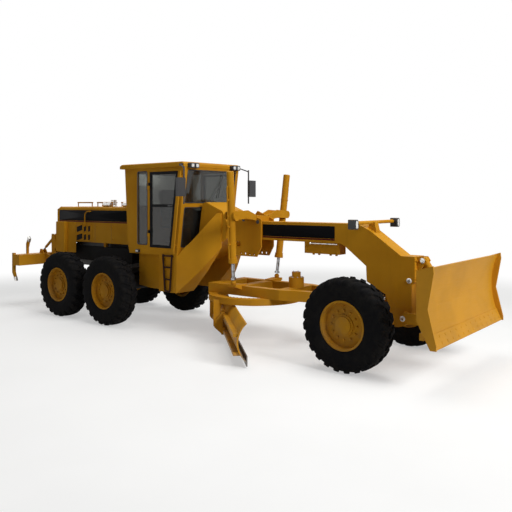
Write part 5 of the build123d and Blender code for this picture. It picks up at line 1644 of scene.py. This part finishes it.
@dataclass
class CylinderFittings(Assembly):
    """Gland rings, end caps, hard lines and their clamps on the lift cylinders."""

    stud: Point = (3.600, 0.620, 1.010)
    top: Point = (3.690, 0.810, 2.890)
    mouth_z: float = 1.350
    ring: Profile = ((0.070, 0.004), (0.079, 0.006), (0.079, 0.048), (0.070, 0.050))
    clamp: Profile = ((0.060, 0.0), (0.066, 0.0), (0.066, 0.022), (0.060, 0.022))
    cap: Profile = ((0.061, -0.002), (0.061, 0.010), (0.050, 0.018), (0.018, 0.020))
    # the hard line: distance along the barrel from its mouth, and away from its axis
    line_rise: Row = (0.075, 0.078, 0.090, 0.110, 0.70, 1.28, 1.300, 1.312, 1.315)
    line_reach: Row = (0.060, 0.082, 0.092, 0.094, 0.094, 0.094, 0.092, 0.082, 0.055)
    clamp_rise: Row = (0.32, 0.62, 1.08)
    line_radius: float = 0.009
    # block: width, height, corner, thickness, rolled edge
    block: Row = (0.034, 0.026, 0.006, 0.042, 0.004)
    block_rise: float = 0.011
    block_reach: float = 0.060

    def build(self) -> None:
        """Fit both cylinders. The line runs up the outer side, parallel to the barrel's axis."""
        ring, clamp, cap = hoop(self.ring, 48), hoop(self.clamp, 40), lathe(self.cap, 40)
        block = rounded_plate(*self.block)
        rise, reach = np.array(self.line_rise)[:, None], np.array(self.line_reach)[:, None]
        for side in Side:
            stud, top = np.array(side.places(self.stud, self.top))
            axis = (top - stud) / np.linalg.norm(top - stud)
            mouth = stud + axis * (self.mouth_z - stud[2]) / axis[2]
            out = np.array(side.out) - side.value * axis[1] * axis
            out /= np.linalg.norm(out)
            body = f"lift_barrel_{side.tag}"
            self.settle(f"lift_caps_{side.tag}", PAINT, spread(cap, axis, [top]),
                        spread(ring, axis, [mouth]), body=body)
            bands = [mouth + h * axis for h in self.clamp_rise]
            blocks = [band + self.block_rise * axis + self.block_reach * out for band in bands]
            self.settle(f"lift_lines_{side.tag}", PAINT,
                        tube(mouth + rise * axis + reach * out, self.line_radius),
                        spread(clamp, axis, bands), spread(block, out, blocks), body=body)


@dataclass
class RipperTips(Assembly):
    """Bare steel points on the ripper's shanks."""

    body: str = "ripper_beam"
    thickness: float = 0.062
    edge: float = 0.006
    working: Profile = ((-2.553, 0.596), (-2.586, 0.686), (-2.648, 0.672), (-2.592, 0.584))
    stowed: Profile = ((-2.552, 1.542), (-2.581, 1.462), (-2.638, 1.526), (-2.602, 1.596))
    # shank's Y, and whether it is stowed upside down
    shanks: tuple[tuple[float, bool], ...] = (
        (-1.08, False), (-0.75, True), (0.0, False), (0.75, False), (1.08, False))

    def build(self) -> None:
        """Slip a point over each shank's end."""
        self.settle("ripper_points", PIN_STEEL, *(
            wall_plate(np.array(self.stowed if up else self.working), y - 0.5 * self.thickness,
                       self.thickness, self.edge, Side.LEFT) for y, up in self.shanks))


@dataclass
class Studio:
    """Camera at the photograph's viewpoint, pale floor and soft lights."""

    eye: Point = (10.480, -8.560, 2.389)
    heading: float = 38.8
    lens: float = 43.0
    shift_y: float = -0.105
    centre: Point = (2.6, 0.0, 1.2)
    floor_radius: float = 60.0
    floor_top: float = -0.0005
    floor_bottom: float = -0.05
    sky_on_object: float = 0.15
    # name, place, size, power
    lights: tuple[tuple, ...] = (
        ("key_light", (19.0, -2.0, 9.5), 6.0, 1850.0),
        ("top_light", (4.0, 1.0, 14.0), 9.0, 850.0),
        ("side_fill", (1.0, -16.0, 5.0), 9.0, 110.0),
        ("rear_fill", (-13.0, 8.0, 7.0), 8.0, 500.0),
    )

    def build(self) -> None:
        """Place the camera, the floor, the lamps and the sky."""
        camera = bpy.data.cameras.new("photo_view")
        camera.lens, camera.sensor_width = self.lens, 36.0
        camera.shift_y, camera.clip_end = self.shift_y, 200.0
        turn = (math.radians(90.0), 0.0, math.radians(self.heading))
        bpy.context.scene.camera = self.put("photo_view", camera, self.eye, turn)
        bpy.context.scene.view_settings.view_transform = "Standard"
        disc = lathe([(self.floor_radius, z) for z in (self.floor_bottom, self.floor_top)], 96)
        mesh_object("studio_floor", disc.at(*self.centre[:2], 0.0), FLOOR)
        for name, place, size, power in self.lights:
            lamp = bpy.data.lights.new(name, "AREA")
            lamp.size, lamp.energy = size, power
            self.put(name, lamp, place, self.aimed(place))
        self.spread_sky()

    @staticmethod
    def put(name: str, data: bpy.types.ID, place: Point, turn: Point) -> bpy.types.Object:
        """Link a camera or a lamp.

        Args:
            name: Name of the object.
            data: Its data.
            place: Where it stands.
            turn: Its Euler angles.

        Returns:
            The object.
        """
        made = bpy.data.objects.new(name, data)
        made.location, made.rotation_euler = place, turn
        bpy.context.scene.collection.objects.link(made)
        return made

    def aimed(self, place: Point) -> Point:
        """Euler angles that turn local -Z from a place to the centre."""
        x, y, z = np.array(self.centre) - np.array(place)
        return (math.atan2(math.hypot(x, y), -z), 0.0, math.atan2(y, x) - 0.5 * math.pi)

    def spread_sky(self) -> None:
        """Make a white sky that lights the machine softly and stays white where it is seen."""
        world = bpy.data.worlds.new("soft_sky")
        bpy.context.scene.world = world
        world.use_nodes = True
        nodes = Nodes(world.node_tree)
        sky = world.node_tree.nodes["Background"]
        nodes.feed(sky.inputs["Color"], WHITE)
        feeds = {"Value": nodes.seen(), "To Min": self.sky_on_object, "To Max": 1.0}
        nodes.feed(sky.inputs["Strength"], nodes.add("MapRange", feeds).outputs["Result"])


def main() -> None:
    """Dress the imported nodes, build the groups of new pieces and report each piece."""
    logging.basicConfig(level=logging.INFO, format="%(name)s: %(message)s")
    CarriedPieces().dress()
    for group in (OperatorSeat(), Lamps(), Stripes(), Tyres(), WheelFittings(), HoodTrim(),
                  CabTrim(), NeckTrim(), BladeHardware(), PushBladeHardware(),
                  CylinderFittings(), RipperTips()):
        group.build()
        for piece in group.pieces:
            log.info("%s: %s", type(group).__name__, piece)
    Studio().build()
    log.info("studio ready")


if __name__ == "__main__":
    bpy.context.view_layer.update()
    main()
